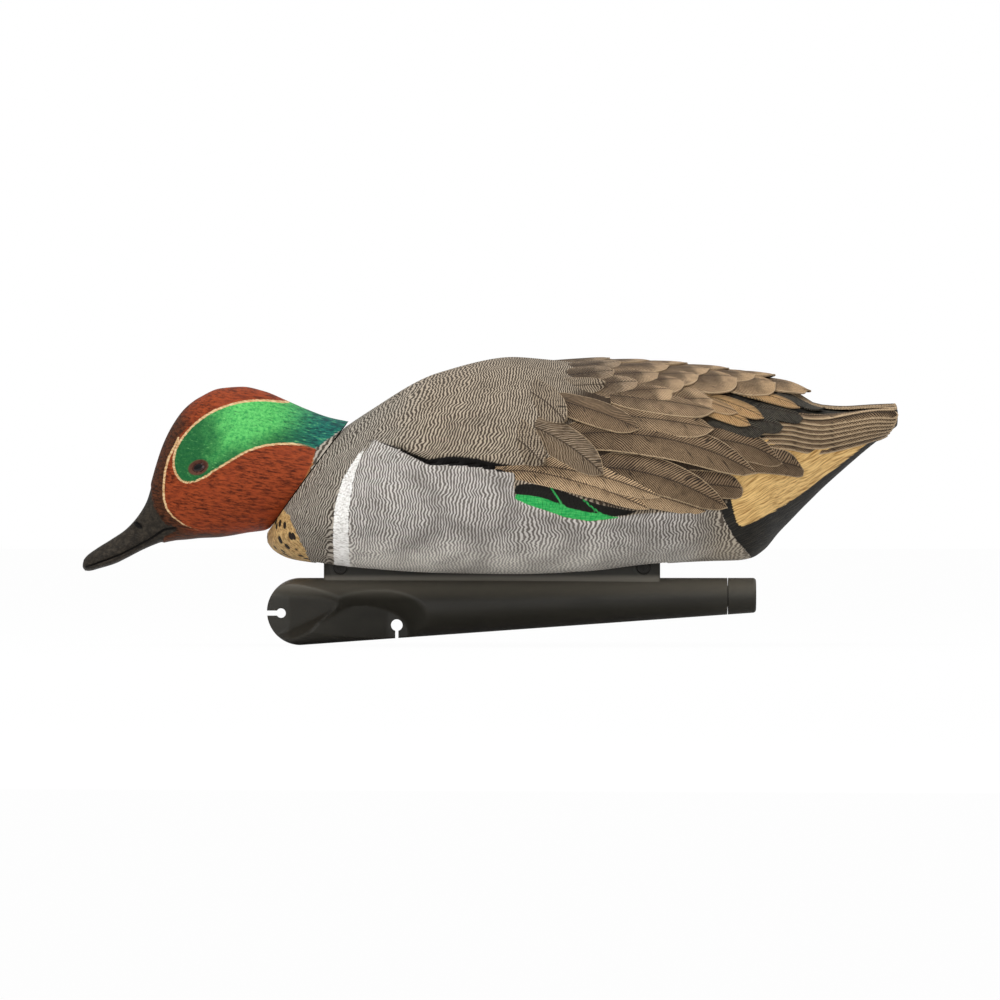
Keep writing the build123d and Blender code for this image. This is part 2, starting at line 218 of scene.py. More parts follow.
# %% The hull's ribs
HULL_RIBS = np.array([
    # along, belly, widest, back, half width, squareness above, squareness below
    (0.000, 0.150, 0.170, 0.195, 0.050, 2.0, 2.0),
    (0.010, 0.112, 0.175, 0.270, 0.270, 2.0, 2.0),
    (0.036, 0.072, 0.205, 0.420, 0.480, 2.0, 2.2),
    (0.086, 0.048, 0.255, 0.585, 0.690, 2.1, 2.3),
    (0.167, 0.023, 0.295, 0.757, 0.865, 2.2, 2.5),
    (0.273, 0.005, 0.325, 0.925, 0.965, 2.2, 2.6),
    (0.400, 0.000, 0.345, 0.999, 1.000, 2.2, 2.7),
    (0.505, 0.012, 0.370, 0.984, 0.975, 2.05, 2.6),
    (0.611, 0.045, 0.420, 0.964, 0.885, 1.9, 2.4),
    (0.704, 0.060, 0.480, 0.938, 0.755, 1.85, 2.3),
    (0.745, 0.063, 0.512, 0.919, 0.690, 1.85, 2.2),
    (0.768, 0.074, 0.533, 0.908, 0.650, 1.85, 2.2),
    (0.789, 0.112, 0.560, 0.892, 0.610, 1.85, 2.1),
    (0.812, 0.190, 0.595, 0.871, 0.555, 1.85, 1.9),
    (0.833, 0.253, 0.628, 0.843, 0.500, 1.9, 1.8),
    (0.850, 0.304, 0.654, 0.806, 0.455, 2.0, 1.8),
    (0.865, 0.347, 0.674, 0.776, 0.418, 2.2, 1.8),
    (0.880, 0.390, 0.690, 0.763, 0.380, 2.3, 1.8),
    (0.920, 0.494, 0.712, 0.752, 0.310, 2.4, 1.8),
    (0.960, 0.592, 0.727, 0.756, 0.235, 2.4, 1.9),
    (1.000, 0.680, 0.735, 0.758, 0.140, 2.3, 2.1),
])
hull_low, hull_high = (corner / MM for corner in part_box("body_shell"))
breast_x, belly_z = hull_low.x, hull_low.z
HULL_HEIGHT = 81.7
ribs = HULL_RIBS.copy()
ribs[:, 0] = breast_x + ribs[:, 0] * (hull_high.x - breast_x)
ribs[:, 1:4] = belly_z + ribs[:, 1:4] * HULL_HEIGHT
ribs[:, 4] *= hull_high.y
strides = np.sqrt((np.diff(ribs[:, [0, 3, 4]], axis=0) ** 2).sum(1))
rib_ways = np.concatenate([[0], np.cumsum(strides)])
way_length = rib_ways[-1]


def hull_point(way, turn):
    """Points on the hull. way runs from breast to tail, turn is the angle round it from the back's ridge."""
    way, turn = np.broadcast_arrays(way, turn)
    x, low, wide, high, half, above, below = (through(rib_ways, column, way) for column in ribs.T)
    across, up = np.sin(turn), np.cos(turn)
    power = 2 / np.where(up >= 0, above, below)
    y = -np.sign(across) * np.abs(across) ** power * half
    z = wide + np.sign(up) * np.abs(up) ** power * np.where(up >= 0, high - wide, wide - low)
    return np.stack([x, y, z], -1)


print("way along the hull:", round(way_length, 1), "mm")

# %% [markdown]
# ## A tape measure round the hull
# Feathers are laid by hand with a tape: so far back, and so far down from the ridge of the back. We
# make such a tape once, a table of the true length round each rib. `skin` then finds the place on the
# hull for a way along it and a share of the half girth, where 1 is the keel line on the left side
# and -1 the same line on the right side.

# %% Girths
TAPE_WAYS, TAPE_TURNS = 400, 721
tape_ways = np.linspace(0, way_length, TAPE_WAYS)
tape_turns = np.linspace(0, math.pi, TAPE_TURNS)
tape_points = hull_point(tape_ways[:, None], tape_turns[None, :])
tape_steps = np.linalg.norm(np.diff(tape_points, axis=1), axis=2)
girths = np.concatenate([np.zeros((TAPE_WAYS, 1)), np.cumsum(tape_steps, axis=1)], axis=1)
half_girths = girths[:, -1]
shares = np.linspace(0, 1, TAPE_TURNS)
turn_table = np.array([np.interp(shares * row[-1], row, tape_turns) for row in girths])


def turn_at(way, share):
    """The angle round the hull at a share of the half girth."""
    row = np.clip(way / way_length * (TAPE_WAYS - 1), 0, TAPE_WAYS - 1.001)
    column = np.clip(np.abs(share) * (TAPE_TURNS - 1), 0, TAPE_TURNS - 1.001)
    i, j = row.astype(int), column.astype(int)
    f, g = row - i, column - j
    low = turn_table[i, j] * (1 - g) + turn_table[i, j + 1] * g
    high = turn_table[i + 1, j] * (1 - g) + turn_table[i + 1, j + 1] * g
    return np.sign(share) * (low * (1 - f) + high * f)


def skin(way, share):
    return hull_point(way, turn_at(way, share))


def way_at(x):
    """The way along the hull at a place x."""
    return np.interp(x, tape_points[:, 0, 0], tape_ways)


def girth_at(way):
    return np.interp(way, tape_ways, half_girths)


def down_from_ridge(x, z):
    """Tape length from the ridge of the back down to a height z, at a place x on the left side."""
    way = way_at(x)
    at = np.linspace(0, 1, 400)
    heights = skin(np.full(400, way), at)[:, 2]
    return np.interp(-z, -heights, at) * girth_at(way)


print("girth at the middle:", round(2 * girth_at(way_at(10.0)), 1), "mm")

# %% [markdown]
# ## The paint pattern of the side
# These are the lines a painter would pencil on the hull before painting: where the grey flank stops,
# the white bar at the shoulder, the green wing patch, the buff and black under the tail. Each is drawn
# in the side view, x along the bird and z up, in millimetres, and holds on both sides.

# %% Lines on the hull
WING_GROOVE = [
    (-45.8, 37.1), (-34.9, 34.1), (-28.5, 30.8), (-23.3, 28.3), (-13.1, 28.3), (-6.0, 27.6),
    (1.5, 26.2), (8.6, 25.4), (15.8, 25.0), (26.6, 24.4), (37.1, 23.4), (41.5, 23.6),
]
SHOULDER_BAR = [(-47.2, 34.4), (-50.2, 29.4), (-53.6, 22.0), (-55.8, 11.0), (-56.1, 1.5), (-55.8, -16.0)]
FLANK = [
    (-44.0, 37.4), *WING_GROOVE[1:8], (8.0, 20.0), (9.0, 15.6), (18.8, 11.6), (26.6, 8.6), (33.8, 7.3),
    (40.9, 7.2), (46.5, 8.7), (54.4, 9.8), (69.0, 10.6), (79.9, 11.2), (85.0, 12.0), (86.3, 7.5),
    (90.8, 0.4), (97.1, -6.4), (98.0, -30.0), (-56.0, -30.0), (-56.5, 1.5), (-56.1, 11.0), (-53.0, 24.0),
]
SPECULUM = [(9.4, 16.1), (19.4, 13.5), (27.5, 10.4), (35.5, 8.8), (46.5, 8.6)]
SPECULUM_STREAKS = [[(20.3, 21.8), (23.2, 17.4), (27.6, 11.4)], [(33.4, 15.6), (36.4, 12.8), (41.0, 9.4)]]
WING_BLACK = [
    (8.2, 16.5), (8.4, 20.4), (13.0, 21.2), (20.0, 20.2), (26.6, 18.2), (33.8, 15.2), (40.9, 13.0),
    (49.0, 11.4), (56.5, 10.4), (44.3, 8.6), (37.1, 9.2), (28.5, 10.6), (19.9, 13.6),
]
THROAT_EDGE = [
    (-90.0, 20.0), (-75.6, 9.6), (-73.4, 4.4), (-69.6, -3.2), (-67.6, -9.0), (-66.0, -30.0), (-100.0, -30.0),
]
VENT_EDGE = [
    (89.0, 60.0), (88.2, 15.0), (85.0, 12.0), (86.3, 7.5), (90.8, 0.4), (97.1, -6.4), (97.5, -30.0),
    (190.0, -30.0), (190.0, 60.0),
]
UNDERTAIL = [
    (87.8, 21.0), (89.4, 12.0), (91.7, 4.6), (97.5, 6.8), (106.5, 11.6), (113.8, 16.0), (122.0, 22.0),
    (131.0, 28.9), (146.8, 41.0), (138.0, 42.0), (112.0, 40.0), (88.0, 34.0),
]
print("lines drawn:", len(WING_GROOVE) + len(FLANK) + len(UNDERTAIL), "points")

# %% [markdown]
# ## The body
# A blown hull is one closed bag of plastic, and Blender's ball is one too, so the body starts as a UV
# sphere. Each ring of the ball becomes one rib of the hull. Then it is carved: a groove where the
# folded wing meets the flank, a flank that swells over the wing, a sunk bed for the feathers that are
# laid later, and the swell of the single large feathers on the side.

# %% Make the ball and draw it out into the hull
BODY_SEGMENTS, BODY_RINGS = 250, 372
CAP_SHARE = 0.012
body, ball = new_ball("painted_body", BODY_SEGMENTS, BODY_RINGS)
from_pole = np.arccos(np.clip(ball[:, 2], -1, 1)) / math.pi
round_share = np.arctan2(ball[:, 1], ball[:, 0]) / math.pi
tail_cap = np.sqrt(np.clip((1 - from_pole) / CAP_SHARE, 0, 1))
way = np.clip(from_pole / (1 - CAP_SHARE), 0, 1) * way_length
points = skin(way, round_share)
middle = np.stack([through(rib_ways, ribs[:, 0], way), 0 * way, through(rib_ways, ribs[:, 2], way)], -1)
breast_cap = np.clip(from_pole * BODY_RINGS / 2, 0, 1)
closing = np.minimum(tail_cap, breast_cap)
points = middle + (points - middle) * closing[:, None]
write_points(body, points)
turn_outward(body)

# %% [markdown]
# ## Carving the body
# Each carved line is one soft step or one soft dip, measured from the pattern's lines. The feather
# bed is sunk by less than a millimetre, so that the laid feathers come up to the true outline.

# %% Carve the body
FLANK_SWELL = 1.1
GROOVE_DEPTH = 2.2
BED_DEPTH = 0.9
FLANK_FEATHERS = [
    # centre x and z, half length, half height, turn, height of the step
    (-36, 12, 15, 12, 0.2, 0.35), (-10, 14, 17, 11, 0.1, 0.4), (-22, -2, 17, 9, 0.2, 0.35),
    (10, 1, 18, 9, 0.0, 0.35), (38, -1, 17, 7, 0.0, 0.35), (62, 3, 16, 7, -0.1, 0.4),
]


def side_view(points):
    return points[:, [0, 2]]


def feather_bed(points):
    """1 where feathers are laid: the back, the wings and the top of the tail."""
    x, z = points[:, 0], points[:, 2]
    lower_edge = through([4, 30, 50, 84, 100, 125, 150], [24, 17, 11, 12.5, 23, 35, 42], x)
    return step(x, 2, 26) * step(z - lower_edge, -0.5, 2.0)


def oval(flat, centre, angle, long, tall):
    """Distance in ovals from a centre: 1 on the rim of an oval with these half axes."""
    dx, dz = (flat - centre).T
    c, s = math.cos(angle), math.sin(angle)
    return np.hypot((dx * c - dz * s) / long, (dx * s + dz * c) / tall)


def flank_feathers(points):
    """The flank's large feathers: how far each point is raised, and where the arcs at their rims are."""
    flat = side_view(points)
    raised, arcs = np.zeros(len(points)), np.zeros(len(points))
    for cx, cz, long, tall, turn, height in FLANK_FEATHERS:
        gap = (1 - oval(flat, (cx, cz), turn, long, tall)) * tall
        behind = step(-points[:, 0], -cx - long, -cx)
        raised = np.maximum(raised, height * step(gap, -0.4, 0.9) * behind)
        arcs = np.maximum(arcs, bump(gap + 1.2, 2.4) * step(points[:, 0], cx - 2, cx + 6))
    return raised, arcs


def carve_body(points):
    """How far each point of the body moves in or out."""
    x, y, z = points.T
    flat = side_view(points)
    flank = inside(flat, FLANK)
    gap, along = to_line(flat, WING_GROOVE)
    groove_width = through([0, 0.15, 0.4, 0.6, 0.85, 1], [0.5, 1.1, 2.4, 2.1, 1.7, 0.8], along)
    groove = bump(gap, groove_width) * step(flank, -0.5, 0.4)
    groove = groove * step(along, 0.0, 0.12) * step(-along, -1, -0.93)
    swell = step(-flank, -0.3, 0.7) * (0.35 + 0.65 * step(x, -40, -15)) * step(-x, -92, -70) * step(z, -8, 2)
    ripple = flank_feathers(points)[0] * step(-flank, 0, 3) * step(z, -10, -4)
    wing = inside(flat, rounded(WING_BLACK))
    recess = 0.7 * step(-wing, 0.0, 0.8)
    bed = BED_DEPTH * feather_bed(points) * (1 - 0.85 * step(x, 108, 116) * step(z, 46.0, 48.0))
    carved = FLANK_SWELL * swell - GROOVE_DEPTH * groove + ripple - recess - bed
    return carved * step(-x, -150, -140)


push_out(body, carve_body(read_points(body)))
print_size(body)

# %% [markdown]
# ## Neck seat and belly channel
# The head sits on a flat oval seat that leans forward, and the keel's web goes up into a channel in
# the belly. The seat is a clean cut, so the mesh is bisected and the cut filled. The channel is a box
# with rounded corners, taken out with a Boolean modifier, as a router would cut it.

# %% Cut the seat and the channel
joints = {joint["name"]: joint for joint in frame["joints"]}
swivel = joints["head_swivel"]
neck_centre, neck_axis = Vector(swivel["pos_m"]), Vector(swivel["axis"]).normalized()
CHANNEL_LENGTH, CHANNEL_WIDTH = 132.0, 22.0
web_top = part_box("keel_shell")[1].z / MM
select_only(body)
bpy.ops.object.mode_set(mode="EDIT")
bpy.ops.mesh.select_all(action="SELECT")
bpy.ops.mesh.bisect(plane_co=neck_centre, plane_no=neck_axis, use_fill=True, clear_outer=True)
bpy.ops.object.mode_set(mode="OBJECT")


def box_cutter(low, high, rounding):
    """A box between two corners in millimetres, with rounded edges, to cut with."""
    low, high = Vector(low) * MM, Vector(high) * MM
    clear_selection()
    bpy.ops.mesh.primitive_cube_add(size=1, location=(low + high) / 2, scale=high - low)
    cutter = bpy.context.object
    bpy.ops.object.transform_apply(location=True, rotation=True, scale=True)
    bevel = cutter.modifiers.new("rounding", "BEVEL")
    bevel.width, bevel.segments = rounding * MM, 3
    apply_modifiers(cutter)
    return cutter


def cut(piece, cutter, operation="DIFFERENCE"):
    """Cut one piece with another, which is used up."""
    boolean = piece.modifiers.new("cut", "BOOLEAN")
    boolean.operation, boolean.object, boolean.solver = operation, cutter, "EXACT"
    apply_modifiers(piece)
    bpy.data.objects.remove(cutter)


half_length, half_width = CHANNEL_LENGTH / 2, CHANNEL_WIDTH / 2
cut(body, box_cutter((-half_length, -half_width, -40), (half_length, half_width, web_top), 1.5))
print_size(body)

# %% [markdown]
# ## Marks for the painter
# The paint on the body follows the pattern's lines. For each point we store its distance to each line,
# so the material can put a crisp edge exactly there, however coarse the mesh is. The fine wavy bars of
# the grey feathers follow the tape: `flow` is the way along, plus a lean where the bars run slantwise.

# %% Store the pattern on the body


def lean_of_bars(points):
    """How far the fine bars lean: along the neck seat at the front, upright on the flank, slanted above."""
    x, z = points[:, 0], points[:, 2]
    above = step(inside(side_view(points), FLANK), -6, 6)
    lean = through([-85, -62, -48, -15, 10, 40], [0.72, 0.60, 0.38, 0.42, 0.30, -0.2], x)
    return -lean * (0.15 + 0.85 * above) * (z - 24)


def mark_body(piece):
    points = read_points(piece)
    flat = side_view(points)
    x, _, z = points.T
    gap, along = to_line(flat, SHOULDER_BAR)
    bar_width = through([0, 0.12, 0.35, 0.6, 1], [0.1, 1.0, 2.3, 2.8, 3.0], along)
    green, way_green = to_line(flat, SPECULUM)
    streaks = np.minimum(*(to_line(flat, streak)[0] for streak in SPECULUM_STREAKS)) - 0.35
    groove, way_groove = to_line(flat, WING_GROOVE)
    flank = inside(flat, FLANK)
    # The wing groove's dark band: partly black paint, partly painted shade in the groove.
    groove_ink_and_shade_width = through([0, 0.2, 0.38, 0.6, 0.85, 1], [0.2, 0.9, 2.8, 2.3, 1.7, 0.8], way_groove)
    green_width = through([0, 0.2, 0.7, 1], [1.0, 2.0, 1.6, 0.3], way_green)
    body_marks = {
        "flow": way_at(x) + lean_of_bars(points),
        "flank": flank,
        "bar": gap - bar_width,
        "green": np.minimum(green - green_width, streaks),
        "wing_black": inside(flat, rounded(WING_BLACK)),
        "groove_ink_and_shade": np.where(flank > -0.35, groove - groove_ink_and_shade_width, 5.0),
        "throat": inside(flat, THROAT_EDGE),
        "vent": inside(flat, VENT_EDGE),
        "undertail": inside(flat, rounded(UNDERTAIL, 1)),
        "bed": feather_bed(points) * step(x - 1.2 * np.maximum(z - 52, 0), 22, 34),
        "arc": flank_feathers(points)[1] * step(-flank, 0, 3),
    }
    for name, values in body_marks.items():
        store(piece, name, values)


mark_body(body)
select_only(body)
bpy.ops.object.shade_smooth_by_angle(angle=math.radians(50))

# %% [markdown]
# ## Feather blades
# On the mould the feathers are carved one over another, each with a raised rim, a low crown and a
# tip that stands clear of the next one. We model each kind of blade once, flat, from a grid: wide in
# the middle and drawn in at the tip. Then every feather is a copy, bent onto the hull with the tape.

# %% Model the flat blades
BLADE_COLUMNS, BLADE_ROWS = 8, 18
BLADE_OUTLINES = {
    "leaf": ([0, 0.15, 0.5, 0.78, 0.92, 1], [0.60, 0.88, 1, 0.84, 0.50, 0.03]),
    "scale": ([0, 0.2, 0.50, 0.74, 0.90, 1], [0.5, 0.82, 1, 0.93, 0.66, 0.06]),
    "strap": ([0, 0.1, 0.5, 0.88, 0.96, 1], [0.75, 0.92, 1, 0.92, 0.66, 0.1]),
    "quill": ([0, 0.1, 0.5, 0.93, 0.98, 1], [0.80, 0.92, 1, 0.95, 0.75, 0.2]),
}


def flat_blade(kind):
    """A blade one unit long, from v = 0 at its root to 1 at its tip, and u = -1 to 1 across it."""
    clear_selection()
    bpy.ops.mesh.primitive_grid_add(x_subdivisions=BLADE_COLUMNS, y_subdivisions=BLADE_ROWS, size=2)
    blade = bpy.context.object
    blade.name = "blade_" + kind
    grid = np.empty(len(blade.data.vertices) * 3, np.float32)
    blade.data.vertices.foreach_get("co", grid)
    u, t = grid.reshape(-1, 3)[:, 0], (grid.reshape(-1, 3)[:, 1] + 1) / 2
    v = 1 - (1 - t) ** 1.5
    width = through(*BLADE_OUTLINES[kind], v)
    return blade, u.astype(float), v, width


blades = {kind: flat_blade(kind) for kind in BLADE_OUTLINES}
print("blades:", list(blades), "with", BLADE_COLUMNS * BLADE_ROWS, "faces each")

# %% [markdown]
# ## Laying a feather
# A feather is given by its root and its tip on the tape, its half width and how much it bends. The
# root is sunk into the bed and the tip stands clear, so a row of feathers shingles by itself. The
# lower edge is tilted up a little, because each feather covers the one below it. The barred coverts
# grow out of the grey back instead, so their roots sink deeper and their upper edges stand up. The
# blade also keeps its own measures, along and across the shaft and in from the rim, for its barbs and
# its pale edge, and a mark of painted shade, which paints it darker toward the edge its neighbour
# covers and toward its root.

# %% Bend a copy of a blade onto the hull
ROOT_SINK, TIP_LIFT = 0.9, 0.95
CROWN, TILT = 0.09, 0.42
CROWN_WIDTHS = {"leaf": 7, "scale": 10, "strap": 7, "quill": 7}
BARRED_SINK, BARRED_TILT, BARRED_STEEPNESS = 2.4, 3.4, 0.8
TAIL_MARGIN = 0.4
PAINT_MARKS = ("tone", "edge", "bars", "black", "buff")


def onto_hull(x, tape, lift):
    """Points at x and a tape length from the ridge, raised off the hull. Left side where tape > 0."""
    way = way_at(x)
    share = tape / girth_at(way)
    at = skin(way, share)
    ahead = skin(way + 0.5, share) - skin(way - 0.5, share)
    beside = skin(way, share + 0.01) - skin(way, share - 0.01)
    normal = np.cross(beside, ahead)
    normal /= np.maximum(np.linalg.norm(normal, axis=1), 1e-9)[:, None]
    return at + normal * lift[:, None]


def painted_shade_on(kind, barred, u, v, from_tip, x):
    """Painted shade: a feather is painted darker toward the edge its neighbour covers, and toward its root."""
    if kind == "quill":
        return np.maximum(0.8 * step(-u, -0.75, -0.35), step(x, 146, 150))
    covered = 0.75 * step(-u, -0.1, 0.9) * (1 - barred)
    if kind == "scale":
        return np.maximum(covered, step(from_tip, 3.0, 8.5) * (1 - 0.4 * u**2))
    return np.maximum(covered, 0.7 * step(-v, -0.55, -0.25) * (1 - barred))


def lay_feather(kind, root, tip, half_width, bend=0.0, lift=0.0, paint=(0.5, 0.5, 0, 0, 0), rise=0.0):
    """One feather from root to tip, each (x, tape length from the ridge). Its tip may rise clear."""
    blade, u, v, width = blades[kind]
    root, tip = np.asarray(root, float), np.asarray(tip, float)
    length = np.hypot(*(tip - root))
    forward = (tip - root) / length
    sideways = np.array([-forward[1], forward[0]])
    reach = u * width * half_width
    places = root + np.outer(v * length, forward) + np.outer(reach + bend * 4 * v * (1 - v), sideways)
    crown = CROWN * min(abs(half_width), CROWN_WIDTHS[kind]) * (1 - u**2) * width
    barred = paint[2]
    sink = ROOT_SINK + BARRED_SINK * barred
    tilt = TILT * (1 - BARRED_TILT * barred)
    steepness = 0.8 + BARRED_STEEPNESS * barred
    height = lift - sink + (sink + TIP_LIFT) * v**steepness + tilt * u + crown + rise * v**3
    feather = blade.copy()
    feather.data = blade.data.copy()
    bpy.context.collection.objects.link(feather)
    laid = onto_hull(np.minimum(places[:, 0], hull_high.x - TAIL_MARGIN), places[:, 1], height)
    write_points(feather, laid)
    store(feather, "flow", way_at(laid[:, 0]) + lean_of_bars(laid))
    store(feather, "along", v * length)
    store(feather, "across", reach)
    store(feather, "rim", np.minimum((1 - np.abs(u)) * width * abs(half_width), (1 - v) * length * 0.8))
    # Painted shade: the feather is painted darker toward its covered edge and toward its root.
    store(feather, "painted_shade", painted_shade_on(kind, barred, u, v, (1 - v) * length, places[:, 0]))
    for name, value in zip(PAINT_MARKS, paint):
        store(feather, name, value)
    return feather


def gather(name, feathers, thickness, mirrored):
    """Join the feathers into one piece, mirror it to the other side and give it thickness."""
    clear_selection()
    for feather in feathers:
        feather.select_set(True)
    bpy.context.view_layer.objects.active = feathers[0]
    bpy.ops.object.join()
    piece = bpy.context.object
    piece.name = name
    wall = piece.modifiers.new("thickness", "SOLIDIFY")
    wall.thickness, wall.offset = thickness * MM, -1
    if mirrored:
        mirror = piece.modifiers.new("other side", "MIRROR")
        mirror.use_axis, mirror.use_mirror_merge = (False, True, False), False
    apply_modifiers(piece)
    turn_outward(piece)
    bpy.ops.object.shade_smooth_by_angle(angle=math.radians(40))
    print_size(piece)
    return piece


def on_side(x, z):
    return (x, down_from_ridge(x, z))


# %% [markdown]
# ## Which feathers lie where
# The lists read by groups: the long brown scapulars and tertials that fold over the wing, from the
# undermost to the uppermost, the barred coverts at the shoulder, and the black and buff feathers of
# the rump. Places are side-view millimetres. A paint is (tone, pale edge, bars, black, buff).

# %% Lay the wing, the coverts and the rump
BLADE_THICKNESS, QUILL_THICKNESS = 0.6, 0.5
BARRED = (0.45, 0.30, 1.0, 0.0, 0.0)
BARRED_DARK = (0.30, 0.55, 0.6, 0.0, 0.0)
BROWN = (0.28, 0.75, 0.0, 0.0, 0.0)
MID_BROWN = (0.45, 0.75, 0.0, 0.0, 0.0)
DARK_BROWN = (0.22, 0.65, 0.0, 0.0, 0.0)
TAN = (0.95, 0.55, 0.0, 0.0, 0.0)
BLACK = (0.2, 0.0, 0.0, 1.0, 0.0)
BUFF = (0.6, 0.3, 0.0, 0.0, 1.0)
BUFF_BROWN = (0.6, 0.6, 0.0, 0.0, 0.45)

WING = [
    # kind, root x z, tip x z, half width, bend, lift, paint
    ("strap", (56, 21.0), (93, 19.5), 5.0, -0.4, -0.7, DARK_BROWN),
    ("strap", (80, 28.5), (115.6, 27.0), 4.9, -0.6, -0.5, DARK_BROWN),
    ("leaf", (72, 37), (107.4, 29.0), 6.4, -2.4, -0.2, DARK_BROWN),
    ("leaf", (26, 21.0), (79, 11.2), 5.4, -1.2, -0.4, TAN),
    ("leaf", (1, 25.5), (58, 12.0), 4.8, -1.2, -0.3, TAN),
    ("leaf", (10, 28.0), (62, 16.4), 5.0, -1.0, -0.2, TAN),
    ("leaf", (36, 27.0), (87, 12.7), 7.0, -3.0, 0.0, BROWN),
    ("leaf", (26, 39.0), (97.8, 25.2), 7.8, -3.6, 0.2, BROWN),
    ("leaf", (40, 47.5), (82.0, 41.0), 6.6, 0.3, 0.1, MID_BROWN),
    ("leaf", (6, 45), (41, 24.2), 7.4, -2.2, 0.6, BARRED_DARK),
    ("leaf", (20, 53.5), (54.2, 40.8), 7.0, -0.2, 0.0, DARK_BROWN),
    ("leaf", (16, 60), (42.0, 57.0), 5.0, 0.0, 0.3, BARRED),
    ("leaf", (44, 54.0), (82.6, 47.6), 6.8, 0.0, 0.3, MID_BROWN),
]
COVERTS = [
    ("leaf", (-10, 46), (19.2, 27.8), 7.6, -1.6, 0.5, BARRED),
    ("leaf", (-4, 61), (27.0, 43.2), 8.0, -2.4, 0.6, BARRED),
]
RUMP = [
    ("scale", (80, 45.5), (101.0, 40.4), 4.6, 0.0, -0.4, BLACK),
    ("scale", (88, 45.5), (108.0, 42.4), 4.6, 0.0, -0.4, BLACK),
    ("scale", (96, 50.0), (115.4, 45.4), 4.8, 0.0, -0.2, BLACK),
    ("scale", (100, 56.0), (124.0, 48.4), 5.0, 0.0, 0.1, BLACK),
    ("leaf", (74, 51.5), (95.8, 42.6), 4.2, 0.0, 0.2, BUFF),
    ("leaf", (78, 54.5), (100.8, 45.0), 4.4, 0.0, 0.3, BUFF),
    ("leaf", (72, 53.5), (91.0, 46.8), 4.2, 0.0, 0.4, BUFF_BROWN),
    ("leaf", (92, 56.0), (114.2, 48.6), 4.0, 0.0, 0.4, BUFF),
]


def lay_list(places):
    return [
        lay_feather(kind, on_side(*root), on_side(*tip), half_width, bend, lift, paint)
        for kind, root, tip, half_width, bend, lift, paint in places
    ]


wing, coverts, rump = (
    gather(name, lay_list(places), BLADE_THICKNESS, mirrored=True)
    for name, places in (("wing_feathers", WING), ("covert_feathers", COVERTS), ("rump_feathers", RUMP))
)

# %% [markdown]
# ## Scales of the back
# Broad round scales cover the back from the shoulders to the rump: one row on the ridge, and more
# rows down each side that shift half a scale, as roof tiles do. Here the side view can't see, so the
# places are tape lengths. At the rump the last ones stand clear of the falling back, which makes the
# small steps in the bird's outline.

# %% Lay the scales of the back
RIDGE_TIPS = [44, 59, 73, 88.5, 105.2, 117.0]
SIDE_SCALES = [
    # tip x and tape, half width; the tape is the length down from the ridge
    (48, 12.0, 8.0), (66, 10.5, 8.5), (81, 9.0, 8.5), (98, 7.0, 9.0), (115.8, 5.0, 9.0),
    (45.5, 23.5, 7.6), (61.9, 21.0, 8.6), (76.9, 17.5, 9.0), (91.0, 14.5, 12.0), (105.2, 11.5, 11.5),
    (54, 30.0, 8.0), (67.0, 32.0, 9.0), (81.6, 33.5, 9.5), (71.5, 24.0, 9.0),
]
SCALE_LENGTH = 24.0
rng = np.random.default_rng(4)
feathers = []
for tip_x, tape, half_width in [(x, 0.0, 9.0) for x in RIDGE_TIPS] + SIDE_SCALES:
    reach = SCALE_LENGTH * (1 - 0.15 * step(tip_x, 84, 120) + rng.uniform(-0.05, 0.05))
    rise = 2.6 * step(tip_x, 86, 117) ** 1.5 * (1 - 0.05 * tape)
    front = step(-tip_x, -70, -45)
    tone = 0.95 - 0.3 * front + rng.uniform(-0.12, 0.12)
    paint = (tone, 0.85 - 0.3 * front, 0.5 * front, 0.0, 0.35 * step(tip_x, 76, 112))
    for side in ((1,) if tape == 0 else (1, -1)):
        ends = ((tip_x - reach, side * (tape + 0.28 * reach * (tape > 0))), (tip_x, side * tape))
        lift = 0.45 - 0.018 * tape - 0.2 * front
        feathers.append(lay_feather("scale", *ends, half_width * side, 0, lift, paint, rise))
back = gather("back_feathers", feathers, BLADE_THICKNESS, mirrored=False)

# %% [markdown]
# ## The tail
# Long narrow feathers fan out over the tail. The middle one lies on top, and each one further out lies
# lower and under the one before it, so their pale rims show as fine level lines from the side.

# %% Lay the tail fan
TAIL_PAIRS, TOP_PAIRS = 8, 3
ROOT_X, TIP_X = 100, 151.4
TOP_HALF, SIDE_HALF, QUILL_EDGE = 2.6, 1.9, 1.2
feathers = [lay_feather("quill", (ROOT_X, 0), (TIP_X, 0), TOP_HALF, 0, 0.5, (0.5, QUILL_EDGE, 0, 0, 0))]
fan = [((ROOT_X, 3.4 * n), (TIP_X, 2.2 * n), TOP_HALF, 0.5 - 0.06 * n) for n in range(1, TOP_PAIRS + 1)]
for number in range(TAIL_PAIRS):
    share = (number + 0.5) / TAIL_PAIRS
    root = on_side(ROOT_X - 2 + 2 * share, 48.5 - 13.5 * share)
    tip = on_side(TIP_X - 4.2 * share**2, 49.2 - 9.6 * share)
    fan.append((root, tip, SIDE_HALF, -0.5 * share))
for number, (root, tip, half_width, lift) in enumerate(fan):
    paint = (0.35 + 0.15 * (number % 2), QUILL_EDGE, 0.0, 0.0, 0.0)
    for side in (1, -1):
        ends = ((root[0], side * root[1]), (tip[0], side * tip[1]))
        feathers.append(lay_feather("quill", *ends, half_width * side, 0.0, lift, paint))
tail = gather("tail_feathers", feathers, QUILL_THICKNESS, mirrored=False)

for blade, *_ in blades.values():
    bpy.data.objects.remove(blade)

# %% [markdown]
# ## The head
# The head and bill are one moulding too. Its ribs are drawn between an upper and a lower point of the
# profile, so they lean round the curve of the neck, and the widths swell at the cheek and draw in at
# the bill, which spreads a little towards its tip as a spoon does. Again a ball is drawn out, from the
# round foot on the neck seat to the tip of the bill.

